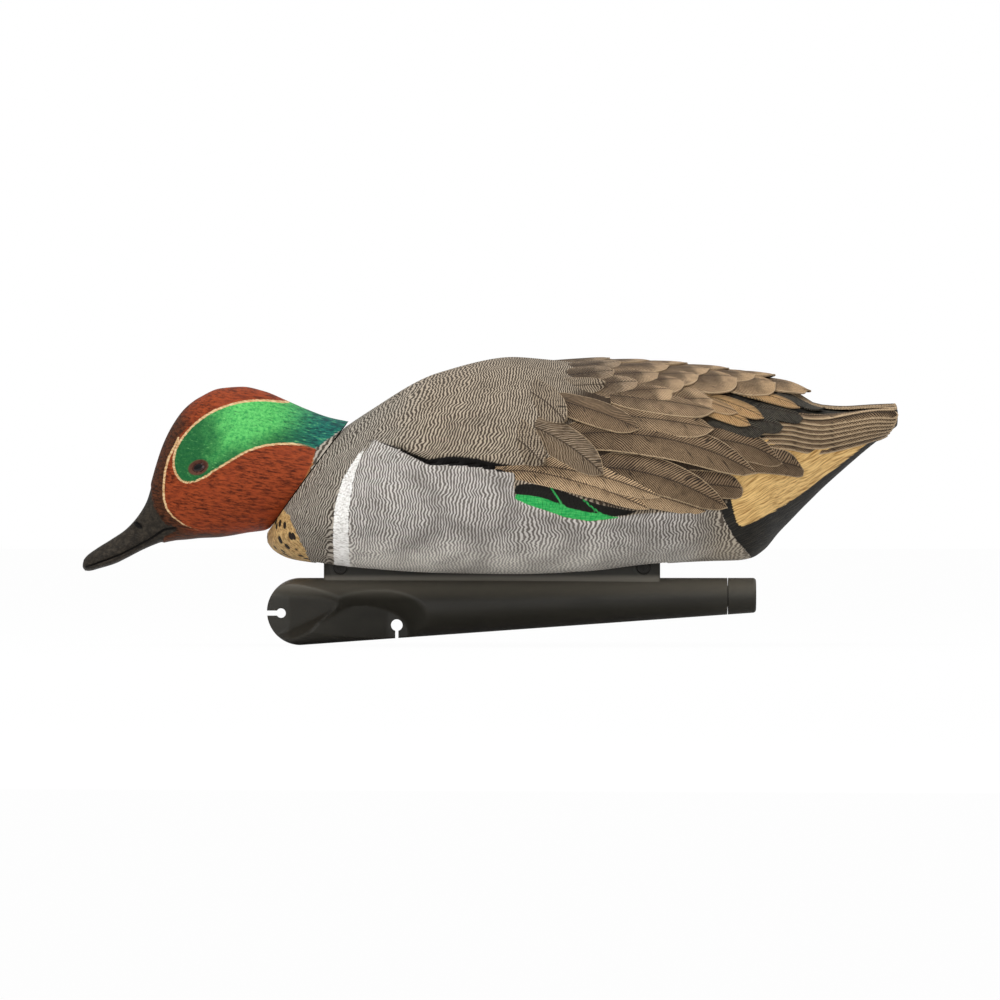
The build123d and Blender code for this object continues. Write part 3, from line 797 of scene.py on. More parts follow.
# %% The head's ribs
FOOT_RADIUS = 25.2
seat_gap = 0.3
seat_up = Vector((0, 1, 0)).cross(neck_axis)
seat_up = seat_up if seat_up.z > 0 else -seat_up
foot_centre = neck_centre / MM + neck_axis * seat_gap
foot_top, foot_bottom = foot_centre + seat_up * FOOT_RADIUS, foot_centre - seat_up * FOOT_RADIUS
HEAD_RIBS = np.array([
    # upper x, upper z, lower x, lower z, half width, squareness, height of the widest line
    (foot_top.x, foot_top.z, foot_bottom.x, foot_bottom.z, FOOT_RADIUS, 2.0, 0.0),
    (-61.0, 46.3, -85.3, 3.3, 25.0, 2.05, -0.04),
    (-69.5, 49.4, -88.0, 2.9, 24.8, 2.1, -0.10),
    (-77.5, 52.9, -91.3, 2.5, 24.6, 2.15, -0.14),
    (-85.3, 56.1, -94.6, 1.9, 24.2, 2.2, -0.16),
    (-93.5, 57.8, -98.6, 1.2, 23.4, 2.2, -0.18),
    (-101.8, 57.2, -102.8, 0.7, 22.0, 2.2, -0.20),
    (-109.3, 54.0, -106.9, 0.5, 20.2, 2.2, -0.22),
    (-115.4, 48.8, -110.8, 0.4, 17.9, 2.15, -0.24),
    (-120.0, 42.3, -114.4, 0.3, 15.5, 2.1, -0.26),
    (-123.4, 35.2, -117.8, 0.1, 13.1, 2.1, -0.26),
    (-126.0, 27.4, -121.0, -0.4, 11.0, 2.1, -0.24),
    (-127.9, 20.6, -124.2, -1.2, 9.3, 2.2, -0.22),
    (-129.6, 15.0, -127.4, -2.4, 8.1, 2.3, -0.22),
    (-132.6, 9.7, -131.2, -4.1, 7.5, 2.3, -0.25),
    (-137.4, 4.3, -136.2, -6.7, 7.3, 2.3, -0.28),
    (-142.9, 0.5, -141.4, -9.2, 7.5, 2.3, -0.30),
    (-148.2, -2.8, -147.0, -10.9, 7.6, 2.2, -0.30),
    (-152.0, -5.6, -151.2, -11.9, 6.3, 2.1, -0.25),
    (-154.1, -8.2, -153.6, -11.6, 3.4, 2.0, -0.10),
])
head_middles = (HEAD_RIBS[:, 0:2] + HEAD_RIBS[:, 2:4]) / 2
head_ways = np.concatenate([[0], np.cumsum(np.hypot(*np.diff(head_middles, axis=0).T))])
head_ways = head_ways + np.linspace(0, 0.4, len(head_ways)) * head_ways[-1]


def head_point(way, turn):
    """Points on the head: turn is the angle from the crown, positive on the left side."""
    ux, uz, lx, lz, half, square, widest = (through(head_ways, column, way) for column in HEAD_RIBS.T)
    across, up = np.sin(turn), np.cos(turn)
    power = 2 / square
    tall = np.sign(up) * np.abs(up) ** power
    tall = tall + widest * (1 - tall**2)
    y = -np.sign(across) * np.abs(across) ** power * half
    x = (ux + lx) / 2 + (ux - lx) / 2 * tall
    z = (uz + lz) / 2 + (uz - lz) / 2 * tall
    return np.stack([x, y, z], -1)


HEAD_SEGMENTS, HEAD_RINGS, FOOT_RINGS = 220, 330, 4
head, ball = new_ball("painted_head", HEAD_SEGMENTS, HEAD_RINGS)
ring = np.arccos(np.clip(ball[:, 2], -1, 1)) / math.pi * HEAD_RINGS
turn = np.arctan2(ball[:, 1], ball[:, 0])
body_share = np.clip((ring - FOOT_RINGS) / (HEAD_RINGS - FOOT_RINGS), 0, 1)
way = body_share * head_ways[-1]
points = head_point(way, turn)
middle = head_point(way, np.full_like(turn, math.pi / 2)) * [1, 0, 1]
foot = np.clip(ring / FOOT_RINGS, 0, 1)
tip = np.sqrt(np.clip((1 - body_share) / 0.012, 0, 1))
points = middle + (points - middle) * np.minimum(foot, tip)[:, None]
write_points(head, points)
turn_outward(head)
print_size(head)

# %% [markdown]
# ## Face, bill and eye
# The face pattern is drawn like the body's. The carving is gentle: a shallow hollow round the eye with
# a raised lid, the step where the feathers end and the bill begins, the line of the mouth, and the
# oval nostril.

# %% Carve and mark the head
EYE = (-109.6, 27.2)
EYE_TURN = math.radians(-20)
EYE_LONG, EYE_TALL, EYE_SINK, EYE_DOME = 3.2, 2.25, 0.45, 1.25
NOSTRIL = (-132.6, 5.6)
NOSTRIL_TURN = math.radians(38)
NOSTRIL_LONG, NOSTRIL_TALL = 2.3, 1.0
MOUTH = [
    (-118.5, 4.3), (-123.0, 3.5), (-127.5, 0.3), (-133.5, -2.9), (-139.1, -5.6), (-147.8, -8.8),
    (-152.3, -10.2),
]
BILL = [
    (-127.6, 17.0), (-126.4, 12.4), (-124.9, 9.8), (-121.9, 5.8), (-117.6, 4.7), (-118.6, 3.0),
    (-122.5, 1.4), (-124.0, -2.0), (-160.0, -25.0), (-170.0, 25.0), (-129.0, 26.0),
]
GREEN = [
    (-118.9, 31.5), (-118.1, 34.3), (-115.9, 38.2), (-112.1, 42.6), (-106.9, 46.7), (-101.6, 49.4),
    (-95.6, 51.3), (-90.0, 52.2), (-83.3, 52.3), (-78.5, 51.6), (-74.8, 52.0), (-74.0, 62.0), (-30.0, 62.0),
    (-40.0, 30.0), (-62.0, 32.6), (-65.6, 34.0), (-70.5, 35.6), (-76.5, 36.1), (-84.0, 35.6), (-90.0, 33.8),
    (-93.8, 31.9), (-97.9, 29.4), (-103.1, 26.3), (-107.6, 23.2), (-112.5, 21.3), (-116.2, 22.0),
    (-118.3, 25.0),
    (-119.1, 28.0),
]
FACE_LINE = [
    (-117.2, 38.2), (-119.3, 34.0), (-121.0, 30.6), (-122.3, 25.6), (-122.8, 20.5), (-122.7, 15.5),
    (-121.6, 11.8), (-119.3, 8.8), (-115.6, 6.0), (-111.5, 4.2), (-107.0, 2.8),
]
CHEEK = [
    *FACE_LINE[::-1], (-118.9, 36.0), (-113.0, 43.5), (-106.0, 48.6), (-97.0, 52.0), (-88.0, 53.2),
    (-30.0, 56.0), (-30.0, -20.0), (-98.0, -6.0), (-103.0, 1.4),
]
COLLAR = [
    (-50.0, 46.0), (-52.6, 43.9), (-58.9, 39.2), (-62.6, 36.6), (-65.5, 34.4), (-66.2, 31.5), (-66.8, 28.1),
    (-69.4, 22.8), (-72.4, 18.0), (-80.0, 8.0), (-60.0, 0.0), (-30.0, 40.0),
]


points = read_points(head)
flat = side_view(points)
outward = step(np.abs(points[:, 1]), 2.0, 4.5)
eye_ovals = oval(flat, EYE, EYE_TURN, EYE_LONG, EYE_TALL)
nostril_ovals = oval(flat, NOSTRIL, NOSTRIL_TURN, NOSTRIL_LONG, NOSTRIL_TALL)
mouth_gap, mouth_way = to_line(flat, MOUTH)
bill_gap = inside(flat, BILL)
hollow = 0.7 * bump(eye_ovals, 2.6) * outward
lid = 0.42 * bump(eye_ovals - 1.12, 0.24) * outward
socket = 0.8 * step(-eye_ovals, -1.0, -0.8) * outward
mouth = 0.7 * bump(mouth_gap, 0.5) * step(-mouth_way, -1.0, -0.93) * outward
nostril = 0.6 * step(-nostril_ovals, -1.0, -0.6) - 0.22 * bump(nostril_ovals - 1.25, 0.25)
bill_step = 0.5 * step(bill_gap, -0.25, 0.6) * step(-points[:, 0], 108, 116)
cheek_swell = 0.5 * bump(oval(flat, (-97.0, 18.0), 0.5, 18.0, 12.0), 0.9) * outward
push_out(head, lid - hollow - socket - mouth - nostril * outward + bill_step - 0.3 + cheek_swell)

points = read_points(head)
flat = side_view(points)
green_gap = inside(flat, rounded(GREEN))
line_gap, line_way = to_line(flat, FACE_LINE)
nostril_ovals = oval(flat, NOSTRIL, NOSTRIL_TURN, NOSTRIL_LONG, NOSTRIL_TALL)
head_marks = {
    "green": green_gap,
    "cream": np.minimum(np.abs(green_gap), line_gap + 0.35 * step(line_way, 0.5, 1.0)),
    "line_way": line_way,
    "cheek": inside(flat, rounded(CHEEK)),
    "bill": inside(flat, BILL),
    "mouth": mouth_gap,
    "nostril": np.where(outward > 0.5, nostril_ovals, 9.0),
    "eye": oval(flat, EYE, EYE_TURN, EYE_LONG, EYE_TALL),
    "flow": (np.array(foot_centre) - points) @ np.array(neck_axis),
    "collar": inside(flat, COLLAR),
}
for name, values in head_marks.items():
    store(head, name, values)
select_only(head)
bpy.ops.object.shade_smooth_by_angle(angle=math.radians(45))
print_size(head)

# %% [markdown]
# ## The eyes
# The real eyes are glass or moulded buttons, slightly domed and very shiny. One is made from a ball,
# pressed flat and turned to the slope of the head, and the other is its mirror image. The dome faces
# out, so one mark of distance from its middle paints the pupil and the brown ring round it.

# %% Make the eyes


def head_side(x, z):
    """How far out the head's left side is at a place of the side view."""
    near = np.hypot(flat[:, 0] - x, flat[:, 1] - z) < 1.2
    left = near & (points[:, 1] < 0)
    return -points[left, 1].mean()


def make_eye(name, side):
    slope = (head_side(EYE[0] + 3, EYE[1]) - head_side(EYE[0] - 3, EYE[1])) / 6
    rise = (head_side(EYE[0], EYE[1] + 3) - head_side(EYE[0], EYE[1] - 3)) / 6
    eye, ball = new_ball(name, 64, 40)
    c, s = math.cos(EYE_TURN), math.sin(EYE_TURN)
    x = EYE_LONG * ball[:, 0] * c + EYE_TALL * ball[:, 1] * s
    z = -EYE_LONG * ball[:, 0] * s + EYE_TALL * ball[:, 1] * c
    out = head_side(*EYE) - EYE_SINK + EYE_DOME * ball[:, 2] + slope * x + rise * z
    write_points(eye, np.stack([EYE[0] + x, side * out, EYE[1] + z], -1))
    store(eye, "from_pupil", 1.05 * np.hypot(ball[:, 0], ball[:, 1]))
    turn_outward(eye)
    bpy.ops.object.shade_smooth()
    print_size(eye)
    return eye


left_eye = make_eye("left_eye_glass", -1)
right_eye = make_eye("right_eye_glass", 1)

# %% [markdown]
# ## The keel
# The keel is a blown tube, fat and round at the nose and slim at the rear, filled with sand. Half a
# ball makes the nose. Its open rim is then extruded again and again and drawn in, ring by ring, to the
# rear end. Where the mould pinched the tube flat, for the two cord keyholes, the sides are pressed in.

# %% Extrude the tube
keel_low, keel_high = (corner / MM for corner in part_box("keel_shell"))
KEEL_TOP, NOSE_RADIUS, END_RADIUS = -14.2, 12.6, 6.88
TUBE_SEGMENTS = 112
nose_x, tube_end = keel_low.x + NOSE_RADIUS, keel_high.x


def extrude_tube(name, wall, end_x):
    """A tube with a round nose, drawn inside the keel's surface by a wall and closed at end_x."""
    clear_selection()
    bpy.ops.mesh.primitive_uv_sphere_add(
        segments=TUBE_SEGMENTS, ring_count=56, radius=(NOSE_RADIUS - wall) * MM, rotation=(0, math.pi / 2, 0)
    )
    tube = bpy.context.object
    tube.name = name
    bpy.ops.object.transform_apply(location=True, rotation=True, scale=True)
    bpy.ops.object.mode_set(mode="EDIT")
    bpy.ops.mesh.select_all(action="SELECT")
    bpy.ops.mesh.bisect(plane_co=(0, 0, 0), plane_no=(1, 0, 0), clear_outer=True)
    bpy.ops.mesh.select_all(action="DESELECT")
    bpy.ops.mesh.select_mode(type="EDGE")
    bpy.ops.mesh.select_non_manifold()
    fine = np.arange(0.8, 52, 0.8)
    rings = [*fine, *np.arange(56, end_x - nose_x - 4, 8.0), end_x - nose_x]
    radius, at = NOSE_RADIUS - wall, 0.0
    for ring_x in rings:
        wide = NOSE_RADIUS + (END_RADIUS - NOSE_RADIUS) * ring_x / (tube_end - nose_x) - wall
        bpy.ops.mesh.extrude_region_move(TRANSFORM_OT_translate={"value": ((ring_x - at) * MM, 0, 0)})
        growth = wide / radius
        bpy.ops.transform.resize(value=(1, growth, growth), center_override=(ring_x * MM, 0, 0))
        radius, at = wide, ring_x
    bpy.ops.mesh.edge_face_add()
    bpy.ops.object.mode_set(mode="OBJECT")
    turn_outward(tube)
    points = read_points(tube)
    slope = (END_RADIUS - NOSE_RADIUS) / (tube_end - nose_x)
    points[:, 2] += KEEL_TOP - NOSE_RADIUS - slope * np.clip(points[:, 0], 0, None)
    points[:, 0] += nose_x
    write_points(tube, points)
    return tube


keel = extrude_tube("moulded_keel", 0.0, tube_end)

# %% [markdown]
# ## Pinches
# The mould pinches the tube flat round each keyhole, and the plastic between them folds softly. In
# the side view the two pinches are wedges that reach in from the nose and from below. Inside a wedge
# the side is pressed towards a thin fin, least far in at the wedge's point, and a slope leads out to
# the round tube. The sand inside fills the same form, one wall further in.

# %% Press the pinches
WALL = 1.8
mounts = {mount["name"]: mount for mount in frame["record"]["mounts"]}
front_tie = Vector(mounts["front_line_tie"]["pos_m"]) / MM
low_tie = Vector(mounts["bottom_line_tie"]["pos_m"]) / MM
FRONT_FOLD = [
    (-99.0, -16.0), (-82.0, -19.0), (-77.0, -20.2), (-66.4, -20.8), (-58.0, -22.4), (-56.5, -24.8),
    (-62.0, -27.6), (-68.3, -30.4), (-75.4, -33.6), (-99.0, -44.0),
]
LOW_FOLD = [
    (-76.0, -35.8), (-67.0, -32.0), (-60.0, -28.4), (-54.0, -24.6), (-48.3, -23.9), (-40.8, -25.2),
    (-34.5, -27.8), (-31.6, -31.6), (-30.8, -36.0), (-31.0, -60.0), (-76.0, -60.0),
]
FIN_HALF, FOLD_SLOPE = 2.3, 1.0


def soft_least(a, b, softness):
    """The smaller of two numbers, with the corner between them rounded."""
    mix = np.clip(0.5 + 0.5 * (b - a) / softness, 0, 1)
    return b + (a - b) * mix - softness * mix * (1 - mix)


def press(tube, wall):
    points = read_points(tube)
    flat = side_view(points)
    side = np.abs(points[:, 1])
    behind = np.clip(points[:, 0] - front_tie.x - 3.0, 0, None)
    ahead = np.clip(low_tie.x - 3.5 - points[:, 0], 0, None)
    front = FIN_HALF + 0.40 * behind + FOLD_SLOPE * np.clip(inside(flat, rounded(FRONT_FOLD)), -0.4, None)
    low = FIN_HALF + 0.26 * ahead + FOLD_SLOPE * np.clip(inside(flat, rounded(LOW_FOLD)), -0.4, None)
    pressed = soft_least(side, soft_least(front, low, 0.7) - wall, 1.1)
    thinnest = np.minimum(side, 0.8 * FIN_HALF - 0.6 * wall)
    points[:, 1] = np.sign(points[:, 1]) * np.maximum(pressed, thinnest)
    write_points(tube, points)


press(keel, 0.0)
sand_fill = extrude_tube("sand_fill", WALL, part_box("ballast_sand")[1].x / MM)
press(sand_fill, WALL)
print_size(sand_fill)

# %% [markdown]
# ## Web, bosses and keyholes
# The web is a flat wall on top of the tube, with a round boss at each screw. They are joined on with
# Boolean modifiers, and the keyholes are cut the same way: a round hole for the knot and a narrow slit
# that the cord is pushed through. A small bevel breaks the sharp edges, as the mould does.

# %% Join the web and cut the keyholes
WEB_LENGTH, WEB_WIDTH = 126.0, 9.0
BOSS_RADIUS, BOSS_HEIGHT = 4.0, 0.6


def bar_across(radius, x, z, start, end):
    """A round bar across the bird, from y = start to y = end."""
    clear_selection()
    bpy.ops.mesh.primitive_cylinder_add(
        vertices=40, radius=radius * MM, depth=(end - start) * MM,
        location=(x * MM, (start + end) / 2 * MM, z * MM), rotation=(math.pi / 2, 0, 0),
    )
    bpy.ops.object.transform_apply(location=True, rotation=True, scale=True)
    return bpy.context.object


half_web = WEB_WIDTH / 2
web_low, web_high = (-WEB_LENGTH / 2, -half_web, KEEL_TOP - 2.5), (WEB_LENGTH / 2, half_web, web_top)
cut(keel, box_cutter(web_low, web_high, 1.0), "UNION")
screw_low, screw_high = (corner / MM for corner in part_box("keel_screws"))
screw_z = (screw_low.z + screw_high.z) / 2
head_radius = (screw_high.z - screw_low.z) / 2
for screw_x in (screw_low.x + head_radius, screw_high.x - head_radius):
    cut(keel, bar_across(BOSS_RADIUS, screw_x, screw_z, -half_web - BOSS_HEIGHT, -half_web + 1), "UNION")
front_radius, low_radius = (mounts[name]["dims"]["r_mm"] for name in ("front_line_tie", "bottom_line_tie"))
FRONT_SLIT, LOW_SLIT, CUT_REACH, SHARP = 1.9, 1.2, 20, 0.1
half_front, half_low = FRONT_SLIT / 2, LOW_SLIT / 2


def box_across(x_low, z_low, x_high, z_high):
    """A sharp box right across the bird, between two corners of the side view."""
    return box_cutter((x_low, -CUT_REACH, z_low), (x_high, CUT_REACH, z_high), SHARP)


keyholes = [
    # middle, radius of the hole, low and high corner of the slit in x and z
    (
        front_tie, front_radius,
        (front_tie.x - CUT_REACH, front_tie.z - half_front, front_tie.x, front_tie.z + half_front),
    ),
    (low_tie, low_radius, (low_tie.x - half_low, low_tie.z - CUT_REACH, low_tie.x + half_low, low_tie.z)),
]
for tie, radius, slit_box in keyholes:
    cut(keel, bar_across(radius - SHARP, tie.x, tie.z, -CUT_REACH, CUT_REACH))
    cut(keel, box_across(*slit_box))
cut(sand_fill, box_across(front_tie.x - CUT_REACH, -60, front_tie.x + 5, 0))
cut(sand_fill, box_across(low_tie.x - 6, -60, low_tie.x + 6, low_tie.z + 6))
select_only(sand_fill)
bpy.ops.object.shade_smooth_by_angle(angle=math.radians(35))
bevel = keel.modifiers.new("mould edge", "BEVEL")
bevel.width, bevel.segments = 0.25 * MM, 2
bevel.limit_method, bevel.angle_limit = "ANGLE", math.radians(60)
apply_modifiers(keel)
bpy.ops.object.shade_smooth_by_angle(angle=math.radians(35))
print_size(keel)

# %% [markdown]
# ## Making materials
# Every paint is a node tree, built with the same few steps: a value is read from the mesh, turned
# into a soft step, and used to lay one colour over another, as a painter lays coats. These helpers
# keep each paint short. Colours are given as on a screen, from 0 to 255, and turned to linear light.

# %% Helpers for node trees


def colour(red, green, blue):
    """A screen colour as linear light."""
    linear = [((c / 255 + 0.055) / 1.055) ** 2.4 if c > 10 else c / 255 / 12.92 for c in (red, green, blue)]
    return (*linear, 1.0)


def new_material(name, roughness, specular=0.2):
    """A material and its principled shader. From here on the helpers add nodes to its tree."""
    global tree
    material = bpy.data.materials.new(name)
    material.use_nodes = True
    tree = material.node_tree
    shader = tree.nodes["Principled BSDF"]
    shader.inputs["Roughness"].default_value = roughness
    shader.inputs["Specular IOR Level"].default_value = specular
    return material, shader


def fill(socket, value):
    """Set a socket to a value, or link another node's output to it."""
    if isinstance(value, bpy.types.NodeSocket):
        tree.links.new(value, socket)
    else:
        socket.default_value = value


def calc(operation, a, b=0.0, c=0.0):
    node = tree.nodes.new("ShaderNodeMath")
    node.operation = operation
    for socket, value in zip(node.inputs, (a, b, c)):
        fill(socket, value)
    return node.outputs[0]


def times(a, b):
    return calc("MULTIPLY", a, b)


def mark(name):
    """A number that was stored on the mesh."""
    node = tree.nodes.new("ShaderNodeAttribute")
    node.attribute_name = name
    return node.outputs["Fac"]


def soft(value, start, end):
    """0 at start and 1 at end, with an even curve between them."""
    node = tree.nodes.new("ShaderNodeMapRange")
    node.interpolation_type = "SMOOTHSTEP"
    fill(node.inputs["Value"], value)
    fill(node.inputs["From Min"], start)
    fill(node.inputs["From Max"], end)
    return node.outputs["Result"]


def coat(share, under, over):
    """One colour over another."""
    node = tree.nodes.new("ShaderNodeMix")
    node.data_type = "RGBA"
    fill(node.inputs[0], share)
    fill(node.inputs[6], under)
    fill(node.inputs[7], over)
    return node.outputs[2]


def place():
    """Object coordinates in millimetres."""
    coordinates = tree.nodes.new("ShaderNodeTexCoord")
    node = tree.nodes.new("ShaderNodeVectorMath")
    node.operation = "SCALE"
    node.inputs["Scale"].default_value = 1 / MM
    tree.links.new(coordinates.outputs["Object"], node.inputs[0])
    return node.outputs[0]


def along_and_up(at):
    """The x and the z of a place."""
    split = tree.nodes.new("ShaderNodeSeparateXYZ")
    tree.links.new(at, split.inputs[0])
    return split.outputs["X"], split.outputs["Z"]


def vector(x, y, z=0.0):
    node = tree.nodes.new("ShaderNodeCombineXYZ")
    for socket, value in zip(node.inputs, (x, y, z)):
        fill(socket, value)
    return node.outputs[0]


def stretched(at, scale, turn=0.0):
    """The place, turned in the side view so that x runs up by an angle, and then scaled."""
    node = tree.nodes.new("ShaderNodeMapping")
    node.vector_type = "TEXTURE"
    node.inputs["Rotation"].default_value = (0, -turn, 0)
    node.inputs["Scale"].default_value = [1 / share for share in scale]
    tree.links.new(at, node.inputs["Vector"])
    return node.outputs[0]


def speckle(at, size, detail=2.0, roughness=0.5):
    """Noise from 0 to 1 with blotches of about this size, in millimetres."""
    node = tree.nodes.new("ShaderNodeTexNoise")
    tree.links.new(at, node.inputs["Vector"])
    node.inputs["Scale"].default_value = 1 / size
    node.inputs["Detail"].default_value = detail
    node.inputs["Roughness"].default_value = roughness
    return node.outputs[0]


def shifted(value, noise, amount):
    """The value, moved up and down by a noise."""
    return calc("MULTIPLY_ADD", calc("SUBTRACT", noise, 0.5), amount, value)


def waves(phase, length):
    """An even wave from 0 to 1."""
    angle = times(phase, 2 * math.pi / length)
    return calc("MULTIPLY_ADD", calc("SINE", angle), 0.5, 0.5)


def painted(material, shader, paint, relief, depth, shine, swing):
    """Link the paint, a relief and a sheen. Relief 1 stands depth millimetres above 0, and the
    roughness swings round the shader's own value, smoother where shine is high."""
    tree.links.new(paint, shader.inputs["Base Color"])
    bump_node = tree.nodes.new("ShaderNodeBump")
    bump_node.inputs["Strength"].default_value = 1.0
    bump_node.inputs["Distance"].default_value = depth * MM
    fill(bump_node.inputs["Height"], relief)
    tree.links.new(bump_node.outputs["Normal"], shader.inputs["Normal"])
    middle = shader.inputs["Roughness"].default_value
    fill(shader.inputs["Roughness"], calc("MULTIPLY_ADD", shine, -swing, middle + swing / 2))
    return material


def ragged(name, noise, amount, start, end):
    """The soft edge of a stored line, frayed by a noise."""
    return soft(shifted(mark(name), noise, amount), start, end)


# %% [markdown]
# ## Hull paint
# The grey of a drake teal is not grey paint: it is pale paint crossed by fine dark wavy bars, finer
# and fainter towards the belly. The bars are a wave along the body, pushed about by a slow noise
# and broken by a quick one. Over them go the white shoulder bar, the spotted throat, the black vent
# with its buff triangle, and the green wing patch, each cut off by its stored line.

# %% Mix the hull paint
PALE_FLANK, DARK_FLANK = colour(206, 200, 194), colour(100, 94, 88)
PALE_BACK, DARK_BACK = colour(178, 163, 143), colour(57, 46, 35)
PALE_BREAST, DARK_BREAST = colour(172, 163, 150), colour(58, 51, 42)
HULL_BARS, FEATHER_BARS, COLLAR_BARS = 1.3, 1.38, 1.8


def wavy_bars(at, phase, length):
    """Fine dark bars along a phase: 0 between them and 1 on them."""
    slow = speckle(stretched(at, (0.5, 0.6, 1.0)), 9.0, 1.0)
    quick = speckle(stretched(at, (0.3, 0.7, 1.0)), 2.2, 2.0)
    bent = shifted(shifted(phase, slow, 6.0), quick, 2.8)
    breaks = speckle(stretched(at, (1.2, 1.2, 0.7)), 1.3, 1.0)
    return soft(shifted(waves(bent, length), breaks, 1.0), 0.25, 0.80)


def hull_paint():
    material, shader = new_material("hull_paint", 0.62)
    at = place()
    x, z = along_and_up(at)
    bars = wavy_bars(at, mark("flow"), HULL_BARS)
    flank = ragged("flank", speckle(at, 2.0), 1.2, 0.4, -0.4)
    blotch = speckle(at, 12.0, 3.0)
    breast = soft(shifted(x, blotch, 14.0), -18.0, -50.0)
    pale = coat(flank, coat(breast, PALE_BACK, PALE_BREAST), PALE_FLANK)
    dark = coat(flank, coat(breast, DARK_BACK, DARK_BREAST), DARK_FLANK)
    # Paler and more faintly barred toward the belly: the bird's pale underside, made paler still as painted light
    # against the shade underneath.
    pale_belly_and_painted_light = soft(shifted(z, blotch, 10.0), 4.0, -10.0)
    pale = coat(times(pale_belly_and_painted_light, flank), pale, colour(236, 230, 220))
    rear = times(soft(shifted(x, blotch, 12.0), 66.0, 88.0), flank)
    pale = coat(rear, pale, colour(190, 178, 160))
    dark = coat(rear, dark, colour(74, 64, 54))
    strength = calc("MULTIPLY_ADD", times(pale_belly_and_painted_light, flank), -0.40, 0.95)
    mixed = coat(times(bars, strength), pale, dark)
    mixed = coat(times(soft(blotch, 0.45, 0.75), 0.22), mixed, DARK_BACK)
    mixed = coat(mark("bed"), mixed, colour(60, 47, 34))
    mixed = coat(times(mark("arc"), 0.34), mixed, DARK_FLANK)
    # Black along the wing groove: partly paint, partly painted shade where the flank overlaps the wing.
    groove_ink_and_shade = ragged("groove_ink_and_shade", speckle(at, 1.6), 0.9, 0.45, -0.35)
    mixed = coat(groove_ink_and_shade, mixed, colour(14, 11, 9))
    fray = speckle(stretched(at, (0.25, 1.0, 1.6)), 0.8, 2.0)
    hairs = shifted(shifted(mark("bar"), fray, 0.9), speckle(at, 3.0), 0.6)
    white = coat(soft(fray, 0.4, 0.7), colour(250, 248, 244), colour(206, 202, 196))
    mixed = coat(soft(hairs, 0.15, -0.15), mixed, white)
    mixed = coat(throat_share(at), mixed, throat_colour(at))
    strokes = hair_strokes(at)
    buff = coat(soft(strokes, 0.36, 0.70), colour(244, 204, 134), colour(166, 122, 64))
    black = coat(soft(strokes, 0.45, 0.75), colour(24, 22, 18), colour(58, 54, 45))
    vent = ragged("vent", strokes, 1.4, 0.2, -0.2)
    under = ragged("undertail", strokes, 1.8, 0.2, -0.2)
    mixed = coat(vent, mixed, black)
    mixed = coat(under, mixed, buff)
    wing = ragged("wing_black", fray, 0.5, 0.2, -0.2)
    mixed = coat(wing, mixed, colour(22, 20, 15))
    bright = coat(soft(fray, 0.35, 0.7), colour(30, 158, 76), colour(70, 186, 96))
    green = ragged("green", fray, 0.5, 0.18, -0.18)
    mixed = coat(green, mixed, bright)
    combed = times(strokes, calc("MAXIMUM", vent, under))
    plain = times(bars, calc("SUBTRACT", 1.0, vent))
    height_map = shifted(calc("SUBTRACT", combed, plain), speckle(at, 0.7, 2.0), 0.5)
    return painted(material, shader, mixed, height_map, 0.32, fray, 0.24)


def hair_strokes(at):
    """Fine strokes that slant back and up, as the hair-like feathers under the tail do."""
    bend = speckle(at, 12.0, 1.0)
    turned = tree.nodes.new("ShaderNodeVectorMath")
    turned.operation = "ADD"
    tree.links.new(stretched(at, (0.06, 0.12, 1.1), math.radians(28)), turned.inputs[0])
    tree.links.new(vector(0.0, 0.0, times(bend, 3.0)), turned.inputs[1])
    return speckle(turned.outputs[0], 0.5, 3.0, 0.6)


def throat_share(at):
    edge = speckle(at, 2.2, 2.0)
    return ragged("throat", edge, 2.2, 0.3, -0.3)


def throat_colour(at):
    """Buff with loose dark spots."""
    cells = tree.nodes.new("ShaderNodeTexVoronoi")
    cells.inputs["Scale"].default_value = 1 / 4.4
    cells.inputs["Randomness"].default_value = 0.8
    tree.links.new(stretched(at, (1.25, 1.0, 0.8), 0.3), cells.inputs["Vector"])
    spots = soft(cells.outputs["Distance"], 0.34, 0.26)
    strokes = speckle(stretched(at, (0.5, 1.0, 1.0), -0.7), 0.8, 3.0)
    buff = coat(soft(strokes, 0.35, 0.7), colour(222, 186, 126), colour(150, 110, 60))
    return coat(spots, buff, colour(32, 22, 14))
